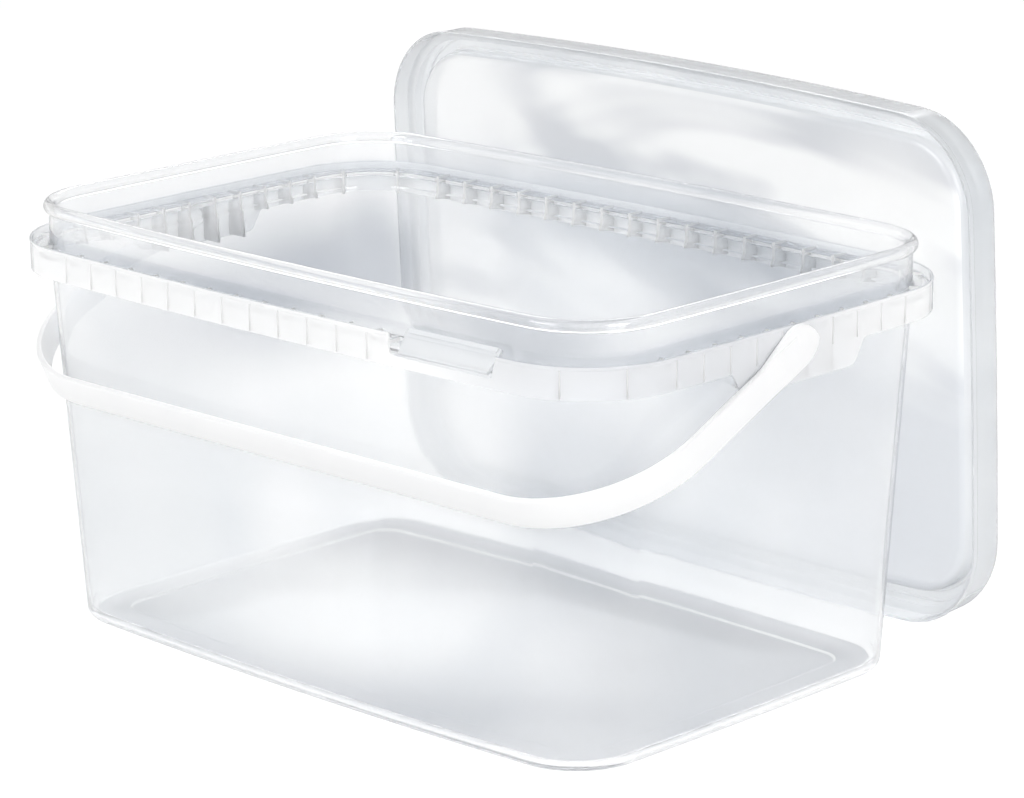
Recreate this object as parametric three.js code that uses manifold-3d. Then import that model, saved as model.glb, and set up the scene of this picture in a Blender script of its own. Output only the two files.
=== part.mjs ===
// A rectangular plastic bucket of about five litres, with its swinging handle, its tear-off tamper
// tab and its press-on lid, which stands behind it on its long edge.
// Millimetres, +Z up. The origin is the middle of the bucket's base, on the floor. The long side
// runs along X, and the front, with the tab, faces -Y.

import * as THREE from 'three';
import { mergeVertices } from 'three/addons/utils/BufferGeometryUtils.js';
import Module from 'manifold-3d';

const wasm = await Module();
wasm.setup();

// Overall sizes, over the skirt of the rim
const length = 270;
const width = 176;
const height = 139.2;
const skirtCorner = 30;
const longBow = 3.5;
const shortBow = 1;

// Tub: walls, floor and base
const wall = 1.2;
const floorThickness = 1.6;
const baseLength = 239.2;
const baseWidth = 156.4;
const baseCorner = 22;
const wallCorner = 21;
const baseRound = 3;
const innerRound = 4;
const panelMargin = 13;
const panelDrop = 0.5;

// Rim: bead, collar, gutter and skirt. An inset is measured inwards from the skirt's outer face,
// and a drop downwards from the top of the rim.
const beadRadius = 2;
const beadInset = 6.8;
const collarInset = 6.4;
const wallInset = 7.2;
const stepDrop = 19.2;
const stepRise = 1.4;
const skirtDrop = 12;
const skirtHeight = 10.2;
const skirtWall = 0.9;
const ledgeDrop = 2.6;
const ledgeThickness = 1.1;

// Ribs under the ledge, and the low webs that stand on it
const ribThickness = 0.9;
const longRibPitch = 12.7;
const shortRibPitch = 11.4;
const ribRise = 0.7;
const webAtSkirt = 0.3;
const webAtCollar = 0.9;
const cornerRibShares = [0.3, 0.7];

// Apron on each short side, with the seat of the handle's pin
const apronDepth = 7.8;
const apronWidth = 60.4;
const apronTaper = 10.4;
const apronCorner = 3.5;
const apronShift = 2.2;
const pinDrop = 20.6;
const pinRadius = 2.7;
const pinClearance = 0.35;
const headRadius = 3.6;
const headThickness = 1.4;
const seatClearance = 0.6;

// Handle: a flat strap in one plane through its pins, which swings clear of the skirt
const strapBeyondSkirt = 4.5;
const strapWidth = 10;
const strapThickness = 2;
const strapSplay = 1.6;
const strapCorner = 42;
const earRadius = 8.6;
const earBlend = 16;
const earToe = 2;
const sideClearance = 0.4;
const restClearance = 0.7;

// Tamper tab in a notch of the front skirt
const tabPlaceShare = 0.283;
const tabLength = 38;
const tabHeight = 8.2;
const tabThickness = 1;
const tabLean = THREE.MathUtils.degToRad(32.5);
const tabSlant = 2.4;
const tabCorner = 1.2;
const tabLip = 1.5;
const tabLipThickness = 0.6;
const stripHeight = 3.3;
const filmGap = 0.35;
const notchLeftGap = 4;
const notchRightGap = 1.2;
const notchCorner = 3;
const notchStub = 0.8;

// Lid: outer wall, channel over the bead, plug inside the collar, and panel
const lidWall = 1;
const lidClearance = 0.25;
const lidDraft = 0.6;
const lidTopRound = 1.6;
const lipDrop = 0.1;
const roofClearance = 0.2;
const plugClearance = 0.5;
const panelDepth = 7;
const panelRound = 3;
const ridgeHook = 0.3;
const ridgeHeight = 1.3;
const ridgeBelowBead = 1.2;
const lidStandOff = 7.5;
const lidShift = -7;
const lidLean = THREE.MathUtils.degToRad(2.8);
const lidYaw = THREE.MathUtils.degToRad(-2);

// Facets and cuts
const overrun = 2;
const cornerSteps = 8;
const sideSteps = 6;
const roundSteps = 3;
const beadSteps = 8;
const holeSteps = 20;
const earSteps = 28;

// Heights, insets and reaches that follow from the sizes above
const stepHeight = height - stepDrop;
const skirtTop = height - skirtDrop;
const skirtBottom = skirtTop - skirtHeight;
const apronBottom = skirtBottom - apronDepth;
const pinHeight = height - pinDrop;
const handleReach = width / 2 + strapBeyondSkirt;
const ledgeTop = skirtTop - ledgeDrop;
const ledgeUnder = ledgeTop - ledgeThickness;
const beadHeight = height - beadRadius;
const collarInner = collarInset + wall;
const stripTop = skirtBottom + stripHeight;
const hingeHeight = stripTop + filmGap + tabThickness / 2;
const tabMiddle = length * tabPlaceShare;
const lidInset = skirtWall + lidClearance;
const lidLip = skirtTop - lipDrop;
const lidRoof = height + roofClearance;
const lidTop = lidRoof + lidWall;
const plugInset = beadInset + beadRadius + plugClearance;

// One closed outline in plan: a rounded rectangle whose sides bow outwards
function bowed(x, y, flatX, flatY) {
  const outX = shortBow * (1 - (y / flatY) ** 2) * (x / flatX);
  const outY = longBow * (1 - (x / flatX) ** 2) * (y / flatY);
  return [x + outX, y + outY];
}

function plan({ halfX, halfY, corner }) {
  const flatX = halfX - shortBow;
  const flatY = halfY - longBow;
  const centreX = flatX - corner;
  const centreY = flatY - corner;
  const quarters = [[1, 1], [-1, 1], [-1, -1], [1, -1]];
  const points = [];
  quarters.forEach(([signX, signY], quarter) => {
    for (let step = 0; step <= cornerSteps; step++) {
      const angle = (quarter + step / cornerSteps) * Math.PI / 2;
      points.push([
        signX * centreX + corner * Math.cos(angle),
        signY * centreY + corner * Math.sin(angle),
      ]);
    }
    const [startX, startY] = points.at(-1);
    const [nextX, nextY] = quarters[(quarter + 1) % quarters.length];
    const alongX = quarter % 2 === 0;
    const endX = alongX ? nextX * centreX : startX;
    const endY = alongX ? startY : nextY * centreY;
    for (let step = 1; step < sideSteps; step++) {
      const share = step / sideSteps;
      points.push([startX + (endX - startX) * share, startY + (endY - startY) * share]);
    }
  });
  return points.map(([x, y]) => bowed(x, y, flatX, flatY));
}

// A station is one outline at one height. rimAt follows the skirt, wallAt the tapered tub.
function rimAt(inset, z) {
  return { halfX: length / 2 - inset, halfY: width / 2 - inset, corner: skirtCorner - inset, z };
}

function wallAt(z, inset) {
  const share = z / stepHeight;
  const mix = (low, high) => low + (high - low) * share;
  return {
    halfX: mix(baseLength / 2, length / 2 - wallInset) - inset,
    halfY: mix(baseWidth / 2, width / 2 - wallInset) - inset,
    corner: mix(baseCorner, wallCorner) - inset,
    z,
  };
}

function roundStations(make, centreInset, centreZ, radius, from, to, steps = roundSteps) {
  const stations = [];
  for (let step = 0; step <= steps; step++) {
    const angle = from + (to - from) * step / steps;
    stations.push(make(centreInset - radius * Math.cos(angle), centreZ + radius * Math.sin(angle)));
  }
  return stations;
}

// Joins stations into a closed skin. With caps, the first and last outlines are filled.
function loft(stations, capped) {
  const rings = stations.map((station) => plan(station).map(([x, y]) => [x, y, station.z]));
  const count = rings[0].length;
  const positions = rings.flat(2);
  const faces = [];
  const spans = capped ? rings.length - 1 : rings.length;
  for (let ring = 0; ring < spans; ring++) {
    const low = ring * count;
    const high = ((ring + 1) % rings.length) * count;
    for (let point = 0; point < count; point++) {
      const next = (point + 1) % count;
      faces.push(low + point, low + next, high + next, low + point, high + next, high + point);
    }
  }
  if (capped) {
    const bottom = rings.length * count;
    const top = bottom + 1;
    const last = bottom - count;
    positions.push(0, 0, stations[0].z, 0, 0, stations.at(-1).z);
    for (let point = 0; point < count; point++) {
      const next = (point + 1) % count;
      faces.push(bottom, next, point, top, last + point, last + next);
    }
  }
  const geometry = new THREE.BufferGeometry();
  geometry.setAttribute('position', new THREE.Float32BufferAttribute(positions, 3));
  geometry.setIndex(faces);
  return geometry;
}

// Solids for joining and cutting
function solid(geometry) {
  const bare = geometry.clone();
  bare.deleteAttribute('normal');
  bare.deleteAttribute('uv');
  const merged = mergeVertices(bare);
  return new wasm.Manifold(new wasm.Mesh({
    numProp: 3,
    vertProperties: new Float32Array(merged.attributes.position.array),
    triVerts: new Uint32Array(merged.index.array),
  }));
}

function geometryOf(manifold) {
  const { vertProperties, triVerts } = manifold.getMesh();
  const geometry = new THREE.BufferGeometry();
  geometry.setAttribute('position', new THREE.Float32BufferAttribute(vertProperties, 3));
  geometry.setIndex(Array.from(triVerts));
  return geometry;
}

function prism(shape, depth, matrix) {
  const geometry = new THREE.ExtrudeGeometry(shape, { depth, bevelEnabled: false, curveSegments: 4 });
  return solid(geometry.applyMatrix4(matrix));
}

function cylinderAlongX(radius, fromX, toX, y, z, steps) {
  const geometry = new THREE.CylinderGeometry(radius, radius, toX - fromX, steps);
  geometry.rotateZ(-Math.PI / 2);
  geometry.translate((fromX + toX) / 2, y, z);
  return solid(geometry);
}

function shapeOf(points) {
  return new THREE.Shape(points.map(([x, y]) => new THREE.Vector2(x, y)));
}

// Rounds the corners of a convex or concave polygon with arcs of the given radii
function roundedShape(corners) {
  const shape = new THREE.Shape();
  corners.forEach(([x, y, radius], index) => {
    const [beforeX, beforeY] = corners.at(index - 1);
    const [afterX, afterY] = corners[(index + 1) % corners.length];
    const toBefore = new THREE.Vector2(beforeX - x, beforeY - y).normalize();
    const toAfter = new THREE.Vector2(afterX - x, afterY - y).normalize();
    const reach = radius / Math.tan(toBefore.angleTo(toAfter) / 2);
    const start = [x + toBefore.x * reach, y + toBefore.y * reach];
    if (index === 0) shape.moveTo(...start);
    else shape.lineTo(...start);
    if (radius > 0) shape.quadraticCurveTo(x, y, x + toAfter.x * reach, y + toAfter.y * reach);
  });
  shape.closePath();
  return shape;
}

// Ribs stand across the gap between the skirt and the wall, each in its own upright plane
function wallInsetAt(z) {
  return wallInset + (length / 2 - wallInset - baseLength / 2) * (1 - z / stepHeight);
}

function acrossGap(x, y, inwardX, inwardY, profile, thickness) {
  const inward = new THREE.Vector3(inwardX, inwardY, 0).normalize();
  const up = new THREE.Vector3(0, 0, 1);
  const side = new THREE.Vector3().crossVectors(inward, up);
  const matrix = new THREE.Matrix4().makeBasis(inward, up, side);
  matrix.setPosition(new THREE.Vector3(x, y, 0).addScaledVector(side, -thickness / 2));
  return prism(profile, thickness, matrix);
}

function ribProfile(bottom) {
  const atSkirt = skirtWall / 2;
  const atCollar = collarInset + wall / 2;
  return shapeOf([
    [atSkirt, bottom],
    [wallInsetAt(bottom) + wall / 2, bottom],
    [wallInset + wall / 2, stepHeight - stepRise],
    [atCollar, stepHeight],
    [atCollar, ledgeTop + webAtCollar],
    [atSkirt, ledgeTop + webAtSkirt],
  ]);
}

function ribPlaces(halfSpan, pitch) {
  const places = [];
  for (let place = pitch / 2; place <= halfSpan; place += pitch) places.push(place, -place);
  return places;
}

const edge = rimAt(0, 0);
const edgeFlatX = edge.halfX - shortBow;
const edgeFlatY = edge.halfY - longBow;
const notchHalf = tabLength / 2 + Math.max(notchLeftGap, notchRightGap) + ribThickness;

function inNotch(x, side) {
  return side < 0 && Math.abs(x - tabMiddle) < notchHalf;
}

function rimRibs() {
  const ribs = [];
  const plain = ribProfile(skirtBottom + ribRise);
  const deep = ribProfile(apronBottom + ribRise);
  const deepReach = (apronWidth - apronTaper) / 2 - apronCorner;
  for (const side of [-1, 1]) {
    for (const x of ribPlaces(edgeFlatX - skirtCorner, longRibPitch)) {
      const [, y] = bowed(x, side * edgeFlatY, edgeFlatX, edgeFlatY);
      if (!inNotch(x, side)) ribs.push(acrossGap(x, y, 0, -side, plain, ribThickness));
    }
    for (const y of ribPlaces(edgeFlatY - skirtCorner, shortRibPitch)) {
      const [x] = bowed(side * edgeFlatX, y, edgeFlatX, edgeFlatY);
      const profile = Math.abs(y - apronShift) < deepReach ? deep : plain;
      ribs.push(acrossGap(x, y, -side, 0, profile, ribThickness));
    }
    for (const end of [-1, 1]) {
      for (const share of cornerRibShares) {
        const outX = end * Math.cos(share * Math.PI / 2);
        const outY = side * Math.sin(share * Math.PI / 2);
        const [x, y] = bowed(
          end * (edgeFlatX - skirtCorner) + outX * skirtCorner,
          side * (edgeFlatY - skirtCorner) + outY * skirtCorner,
          edgeFlatX,
          edgeFlatY,
        );
        ribs.push(acrossGap(x, y, -outX, -outY, plain, ribThickness));
      }
    }
  }
  return ribs;
}

// Tub with its rim: one skin from the underside, up the outside, over the bead and down the inside
function tub() {
  const beadJoin = Math.sqrt(beadRadius ** 2 - (collarInset - beadInset) ** 2);
  const beadInnerJoin = Math.sqrt(beadRadius ** 2 - (collarInner - beadInset) ** 2);
  const beadFrom = -Math.atan2(beadJoin, beadInset - collarInset);
  const beadTo = Math.PI + Math.atan2(beadInnerJoin, collarInner - beadInset);
  const underWall = (inset, z) => wallAt(z, inset);
  const rim = (inset, z) => rimAt(inset, z);
  return loft([
    ...roundStations(underWall, baseRound, baseRound, baseRound, -Math.PI / 2, 0, roundSteps),
    wallAt(stepHeight - stepRise, 0),
    rimAt(collarInset, stepHeight - stepRise + wall / 2),
    rimAt(collarInset, ledgeUnder),
    rimAt(skirtWall, ledgeUnder),
    rimAt(skirtWall, skirtBottom),
    rimAt(0, skirtBottom),
    rimAt(0, skirtTop),
    rimAt(skirtWall, skirtTop),
    rimAt(skirtWall, ledgeTop),
    rimAt(collarInset, ledgeTop),
    ...roundStations(rim, beadInset, beadHeight, beadRadius, beadFrom, beadTo, beadSteps),
    rimAt(collarInner, stepHeight),
    wallAt(stepHeight - wall / 2, wall),
    ...roundStations(underWall, wall + innerRound, floorThickness + innerRound, innerRound, 0, -Math.PI / 2),
    wallAt(floorThickness, wall + panelMargin),
    wallAt(floorThickness - panelDrop, wall + panelMargin + panelDrop),
  ], true);
}

// Apron: the skirt's own band carried further down near the middle of each short side
function aprons() {
  const band = solid(loft([
    rimAt(0, apronBottom),
    rimAt(0, skirtTop - ledgeDrop),
    rimAt(skirtWall, skirtTop - ledgeDrop),
    rimAt(skirtWall, apronBottom),
  ], false));
  const topHalf = apronWidth / 2;
  const bottomHalf = topHalf - apronTaper / 2;
  const outline = roundedShape([
    [apronShift - bottomHalf, apronBottom, apronCorner],
    [apronShift + bottomHalf, apronBottom, apronCorner],
    [apronShift + topHalf, skirtBottom + ribRise, 0],
    [apronShift - topHalf, skirtBottom + ribRise, 0],
  ]);
  const alongX = new THREE.Matrix4().makeBasis(
    new THREE.Vector3(0, 1, 0),
    new THREE.Vector3(0, 0, 1),
    new THREE.Vector3(1, 0, 0),
  );
  alongX.setPosition(-length / 2 - overrun, 0, 0);
  return band.intersect(prism(outline, length + 2 * overrun, alongX));
}

// Seat of one pin: a pad under the ledge, over the pin's head, joins the two ribs beside it
function pinSeat(side) {
  const low = pinHeight + headRadius + seatClearance;
  const atSkirt = skirtWall / 2;
  const atCollar = collarInset + wall / 2;
  const profile = shapeOf([
    [atSkirt, low],
    [atCollar, low],
    [atCollar, ledgeTop - ledgeThickness / 2],
    [atSkirt, ledgeTop - ledgeThickness / 2],
  ]);
  return acrossGap(side * length / 2, 0, -side, 0, profile, shortRibPitch);
}

function pinHole(side) {
  const outer = side * (length / 2 + overrun);
  const inner = side * (length / 2 - skirtWall - overrun / 2);
  const [low, high] = [Math.min(outer, inner), Math.max(outer, inner)];
  return cylinderAlongX(pinRadius + pinClearance, low, high, 0, pinHeight, holeSteps);
}

// The tab and its notch share one frame: u along the skirt, v inwards, z up
const [, tabEdgeY] = bowed(tabMiddle, -edgeFlatY, edgeFlatX, edgeFlatY);
const tabTurn = Math.atan(2 * longBow * tabMiddle / edgeFlatX ** 2);
const tabFrame = new THREE.Matrix4().makeRotationZ(tabTurn).setPosition(tabMiddle, tabEdgeY, 0);

function notch() {
  const left = -tabLength / 2 - notchLeftGap;
  const right = tabLength / 2 + notchRightGap;
  const top = skirtTop + overrun;
  const outline = roundedShape([
    [left, stripTop, notchCorner],
    [right - tabSlant * (skirtTop - stripTop) / tabHeight, stripTop, 0],
    [right + tabSlant * overrun / tabHeight, top, 0],
    [left, top, 0],
  ]);
  const inward = new THREE.Matrix4().makeBasis(
    new THREE.Vector3(1, 0, 0),
    new THREE.Vector3(0, 0, 1),
    new THREE.Vector3(0, -1, 0),
  );
  inward.setPosition(0, collarInset - notchStub, 0);
  return prism(outline, collarInset - notchStub + overrun, inward.premultiply(tabFrame));
}

function bucketBody() {
  let body = solid(tub()).add(aprons());
  for (const rib of rimRibs()) body = body.add(rib);
  for (const side of [-1, 1]) body = body.add(pinSeat(side)).subtract(pinHole(side));
  return geometryOf(body.subtract(notch()));
}

// Tab: a leaning plate with a thicker lip along its free edge
function tamperTab() {
  const left = -tabLength / 2;
  const right = tabLength / 2;
  const plate = roundedShape([
    [left, 0, 0],
    [right - tabSlant, 0, 0],
    [right, tabHeight, tabCorner],
    [left, tabHeight, tabCorner],
  ]);
  const lip = roundedShape([
    [left + tabCorner, tabHeight - tabLip, 0],
    [right - tabCorner, tabHeight - tabLip, 0],
    [right - tabCorner, tabHeight, 0],
    [left + tabCorner, tabHeight, 0],
  ]);
  const upright = (out) => new THREE.Matrix4().makeRotationX(Math.PI / 2).setPosition(0, out, 0);
  const half = tabThickness / 2;
  const tab = prism(plate, tabThickness, upright(half))
    .add(prism(lip, tabLipThickness + half, upright(0)));
  return geometryOf(tab);
}

// Handle: the strap's centre plane lies in X and reach, reach runs to -Y, and its width runs up
function strapPath(inset) {
  const earX = length / 2 + sideClearance + strapThickness;
  const start = new THREE.Vector2(earX, -earRadius);
  const knee = new THREE.Vector2(earX, earBlend);
  const corner = new THREE.Vector2(earX + strapSplay, handleReach);
  const arm = corner.clone().sub(knee).normalize();
  const bend = Math.PI / 2 + Math.atan2(arm.x, arm.y);
  const tangent = strapCorner * Math.tan(bend / 2);
  const centre = new THREE.Vector2(corner.x - tangent, corner.y - strapCorner);
  const radius = strapCorner - inset;
  const startAngle = Math.PI / 2 - bend;
  const points = [[start.x - inset, 0], [knee.x - inset, knee.y]];
  const steps = 2 * cornerSteps;
  for (let step = 0; step <= steps; step++) {
    const angle = startAngle + bend * step / steps;
    points.push([centre.x + radius * Math.cos(angle), centre.y + radius * Math.sin(angle)]);
  }
  return points;
}

function mirrored(points) {
  return points.map(([x, y]) => [-x, y]).reverse();
}

function strap() {
  const outer = strapPath(0);
  const inner = strapPath(strapThickness);
  const outline = shapeOf([...outer, ...mirrored(outer), ...mirrored(inner).reverse(), ...inner.reverse()]);
  const toFront = new THREE.Matrix4().makeBasis(
    new THREE.Vector3(1, 0, 0),
    new THREE.Vector3(0, -1, 0),
    new THREE.Vector3(0, 0, -1),
  );
  toFront.setPosition(0, 0, strapWidth / 2);
  return prism(outline, strapWidth, toFront);
}

// Ear: the strap's lower edge runs straight on into an oval toe, and its upper edge swells to a
// circle round the pin. The pin and its head stand on the inner face.
function ear(side) {
  const half = strapWidth / 2;
  const lean = Math.asin((earRadius - half) / earBlend);
  const shape = new THREE.Shape();
  shape.moveTo(earBlend, -half);
  shape.absellipse(earToe, 0, earRadius + earToe, half, -Math.PI / 2, -Math.PI, true);
  shape.absarc(0, 0, earRadius, Math.PI, Math.PI / 2 - lean, true);
  shape.lineTo(earBlend, half);
  shape.closePath();
  const plate = new THREE.ExtrudeGeometry(shape, {
    depth: strapThickness,
    bevelEnabled: false,
    curveSegments: earSteps,
  });
  const toSide = new THREE.Matrix4().makeBasis(
    new THREE.Vector3(0, -1, 0),
    new THREE.Vector3(0, 0, 1),
    new THREE.Vector3(-1, 0, 0),
  );
  const innerFace = length / 2 + sideClearance;
  toSide.setPosition(innerFace + strapThickness, 0, 0);
  if (side < 0) toSide.setPosition(-innerFace, 0, 0);
  const headFace = length / 2 - skirtWall - pinClearance;
  const pieces = [
    [pinRadius, headFace - headThickness / 2, innerFace + strapThickness / 2],
    [headRadius, headFace - headThickness, headFace],
  ];
  return pieces.reduce((joined, [radius, near, far]) => {
    const [low, high] = side < 0 ? [-far, -near] : [near, far];
    return joined.add(cylinderAlongX(radius, low, high, 0, 0, holeSteps));
  }, solid(plate.applyMatrix4(toSide)));
}

function handleGeometry() {
  return geometryOf(strap().add(ear(1)).add(ear(-1)));
}

// The strap hangs against the front wall: this is the angle below level at which its lower edge
// comes to within the rest clearance of the wall.
function restAngle() {
  const reach = handleReach - strapThickness;
  const half = strapWidth / 2;
  const gap = (angle) => {
    const out = reach * Math.cos(angle) - half * Math.sin(angle);
    const z = pinHeight - reach * Math.sin(angle) - half * Math.cos(angle);
    return out - wallAt(z, 0).halfY;
  };
  let [open, shut] = [0, Math.PI / 3];
  for (let turn = 0; turn < 50; turn++) {
    const middle = (open + shut) / 2;
    if (gap(middle) > restClearance) open = middle;
    else shut = middle;
  }
  return open;
}

// Lid in its closed attitude, with its lip at z = 0: panel, plug, channel and outer wall
function lidGeometry() {
  const at = (inset, z) => rimAt(inset, z - lidLip);
  const panelUnder = lidTop - panelDepth - lidWall;
  const centre = panelUnder + panelRound;
  const innerFace = lidInset + lidWall;
  const ridge = beadHeight - beadRadius - ridgeBelowBead;
  const ridgeInset = beadInset - beadRadius + ridgeHook;
  const topInset = lidInset + lidDraft;
  return loft([
    ...roundStations(at, plugInset + panelRound, centre, panelRound, -Math.PI / 2, 0),
    at(plugInset, lidRoof),
    at(innerFace + lidDraft, lidRoof),
    at(innerFace, ridge + ridgeHeight),
    at(ridgeInset, ridge),
    at(innerFace, ridge - ridgeHeight),
    at(innerFace, lidLip),
    at(lidInset, lidLip),
    ...roundStations(at, topInset + lidTopRound, lidTop - lidTopRound, lidTopRound, 0, Math.PI / 2),
    at(plugInset + lidWall, lidTop),
    ...roundStations(at, plugInset + panelRound, centre, panelRound - lidWall, 0, -Math.PI / 2),
  ], true);
}

// Assembly
const clear = { roughness: 0.18, metalness: 0, transparent: true, opacity: 0.45 };
const clearPlastic = new THREE.MeshStandardMaterial({ color: 0xe3e9ee, ...clear });
const whitePlastic = new THREE.MeshStandardMaterial({ color: 0xf7f8f9, roughness: 0.35, metalness: 0 });

function named(name, geometry, material) {
  const mesh = new THREE.Mesh(geometry, material);
  mesh.name = name;
  return mesh;
}

const bucketWithLid = new THREE.Group();
bucketWithLid.add(named('bucket_body', bucketBody(), clearPlastic));

const handle = named('handle', handleGeometry(), whitePlastic);
handle.position.z = pinHeight;
handle.rotation.x = restAngle();
bucketWithLid.add(handle);

const tabPlace = new THREE.Group();
tabPlace.applyMatrix4(tabFrame);
const tab = named('tamper_tab', tamperTab(), clearPlastic);
tab.position.set(0, skirtWall / 2, hingeHeight);
tab.rotation.x = -tabLean;
tabPlace.add(tab);
bucketWithLid.add(tabPlace);

const lidPlace = new THREE.Group();
const lid = named('lid', lidGeometry(), clearPlastic);
lidPlace.position.set(lidShift, handleReach + lidStandOff, (width / 2 - lidInset) * Math.cos(lidLean));
lidPlace.rotation.z = lidYaw;
lid.rotation.x = -Math.PI / 2 + lidLean;
lidPlace.add(lid);
bucketWithLid.add(lidPlace);

export default bucketWithLid;
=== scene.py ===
# %% [markdown]
# # A clear plastic bucket with its lid
# The object is a rectangular food bucket of about five litres, moulded in clear, slightly milky
# plastic. A white strap handle hangs on its front, and its lid stands behind it on its long edge.
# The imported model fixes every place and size. This notebook builds the fine version of each
# moulding in that same frame, gives it a finish, and lights it as a product shot.

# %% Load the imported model
import math

import bmesh
import bpy
import numpy as np
from mathutils import Matrix, Vector


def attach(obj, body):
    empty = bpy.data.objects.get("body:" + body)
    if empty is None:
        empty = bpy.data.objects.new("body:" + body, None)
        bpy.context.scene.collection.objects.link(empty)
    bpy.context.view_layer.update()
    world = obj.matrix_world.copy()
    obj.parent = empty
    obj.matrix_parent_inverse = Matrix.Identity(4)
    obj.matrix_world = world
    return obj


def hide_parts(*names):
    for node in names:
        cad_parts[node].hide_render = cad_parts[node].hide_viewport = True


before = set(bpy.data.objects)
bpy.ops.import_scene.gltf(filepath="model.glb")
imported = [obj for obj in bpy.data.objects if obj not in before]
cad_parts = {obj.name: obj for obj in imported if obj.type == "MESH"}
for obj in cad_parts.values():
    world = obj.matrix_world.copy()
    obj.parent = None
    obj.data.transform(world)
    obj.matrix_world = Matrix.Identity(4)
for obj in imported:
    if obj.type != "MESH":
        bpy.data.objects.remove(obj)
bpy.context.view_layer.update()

# %% [markdown]
# ## Sizes
# A mould maker works in millimetres, so the sizes are written that way and turned into metres once,
# when a mesh is made. An inset is measured inwards from the outer face of the rim's skirt.

# %% Sizes in millimetres
MM = 0.001
LENGTH, WIDTH, HEIGHT = 270.0, 176.0, 139.2
SKIRT_CORNER, LONG_BOW, SHORT_BOW = 30.0, 3.5, 1.0
WALL, FLOOR_THICKNESS = 1.2, 1.6
BASE_LENGTH, BASE_WIDTH, BASE_CORNER, BASE_ROUND, INNER_ROUND = 239.2, 156.4, 22.0, 3.0, 4.0
BEAD_RADIUS, BEAD_INSET, COLLAR_INSET, WALL_INSET, WALL_CORNER = 2.0, 6.8, 6.4, 7.2, 21.0
STEP_HEIGHT, STEP_RISE = 120.0, 1.4
SKIRT_TOP, SKIRT_BOTTOM, SKIRT_WALL = 127.2, 117.0, 0.9
LEDGE_TOP, LEDGE_THICKNESS = 124.6, 1.1
PIN_HEIGHT = 118.6
print("outside over the skirt:", LENGTH, "x", WIDTH, "x", HEIGHT, "mm")

# %% [markdown]
# ## One outline for every level
# Seen from above, each level of the tub, the rim and the lid is a rounded rectangle whose sides bow
# outwards a little, which keeps thin walls from buckling. A circle or a cube with a bevel can't give
# that, so the outline is computed: four quarter arcs, four sides, and a parabola added to the sides.
# The short sides have extra points where the apron's edge slants.

# %% The outline in plan
CORNER_STEPS = 14
LONG_SHARES = np.linspace(0, 1, 25)[1:-1]
SHORT_SPAN = 54.5
APRON_STOPS = np.arange(20.5, 33.0, 0.8)
SHORT_SHARES = np.sort(np.concatenate((
    (SHORT_SPAN + APRON_STOPS) / (2 * SHORT_SPAN),
    (SHORT_SPAN - APRON_STOPS) / (2 * SHORT_SPAN),
    np.linspace(0, 1, 13)[1:-1],
)))


def bow(x, y, flat_x, flat_y):
    out_x = SHORT_BOW * (1 - (y / flat_y) ** 2) * (x / flat_x)
    out_y = LONG_BOW * (1 - (x / flat_x) ** 2) * (y / flat_y)
    return x + out_x, y + out_y


def outline(half_x, half_y, corner):
    """Points of one level, anticlockwise from the back end of the +X side."""
    flat_x, flat_y = half_x - SHORT_BOW, half_y - LONG_BOW
    centre_x, centre_y = flat_x - corner, flat_y - corner
    quarters = ((1, 1), (-1, 1), (-1, -1), (1, -1))
    points = []
    for index, (sign_x, sign_y) in enumerate(quarters):
        for angle in (index + np.linspace(0, 1, CORNER_STEPS + 1)) * math.pi / 2:
            points.append((sign_x * centre_x + corner * math.cos(angle),
                           sign_y * centre_y + corner * math.sin(angle)))
        start = np.array(points[-1])
        next_x, next_y = quarters[(index + 1) % 4]
        along_x = index % 2 == 0
        end = np.array((next_x * centre_x, start[1]) if along_x else (start[0], next_y * centre_y))
        for share in LONG_SHARES if along_x else SHORT_SHARES:
            points.append(tuple(start + (end - start) * share))
    return np.array([bow(x, y, flat_x, flat_y) for x, y in points])


print("points in one outline:", len(outline(LENGTH / 2, WIDTH / 2, SKIRT_CORNER)))

# %% [markdown]
# ## Stations and lofts
# A moulding like this is a stack of outlines. Each station holds four numbers: half length, half
# width, corner radius and height. Because the rounding of an edge only blends such numbers, one
# helper can soften any corner of the wall's section, and one loft turns the stack into a skin.

# %% Stations and softened corners
SOFT_STEPS, SOFT_REACH = 4, 0.48


def rim_at(inset, z):
    return np.array([LENGTH / 2 - inset, WIDTH / 2 - inset, SKIRT_CORNER - inset, z])


def wall_at(inset, z):
    low = np.array([BASE_LENGTH / 2, BASE_WIDTH / 2, BASE_CORNER])
    high = np.array([LENGTH / 2 - WALL_INSET, WIDTH / 2 - WALL_INSET, WALL_CORNER])
    return np.append(low + (high - low) * (z / STEP_HEIGHT) - inset, z)


def arc_stations(make, inset, z, radius, start, stop, steps):
    """Stations on an arc of the section, each with an edge radius of 0."""
    return [(make(inset - radius * math.cos(a), z + radius * math.sin(a)), 0)
            for a in np.linspace(start, stop, steps + 1)]


def soften(section):
    """Stations from (station, edge radius) pairs, with a short curve in place of each edge."""
    stations = []
    for index, (station, radius) in enumerate(section):
        if radius == 0:
            stations.append(station)
            continue
        ends = []
        for other, _ in (section[index - 1], section[index + 1]):
            gap = other - station
            length = math.hypot(gap[0], gap[3])
            ends.append(station + gap * min(radius, SOFT_REACH * length) / length)
        for share in np.linspace(0, 1, SOFT_STEPS + 1):
            stations.append(ends[0] * (1 - share) ** 2 + 2 * station * share * (1 - share)
                            + ends[1] * share ** 2)
    return stations


print("half the wall's length at the floor and at the step, mm:",
      wall_at(0, 0)[0], wall_at(0, STEP_HEIGHT)[0])

# %% Meshes and the loft
SHARP_ANGLE = math.radians(35)


def add_object(name, data):
    thing = bpy.data.objects.new(name, data)
    bpy.context.scene.collection.objects.link(thing)
    return thing


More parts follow.
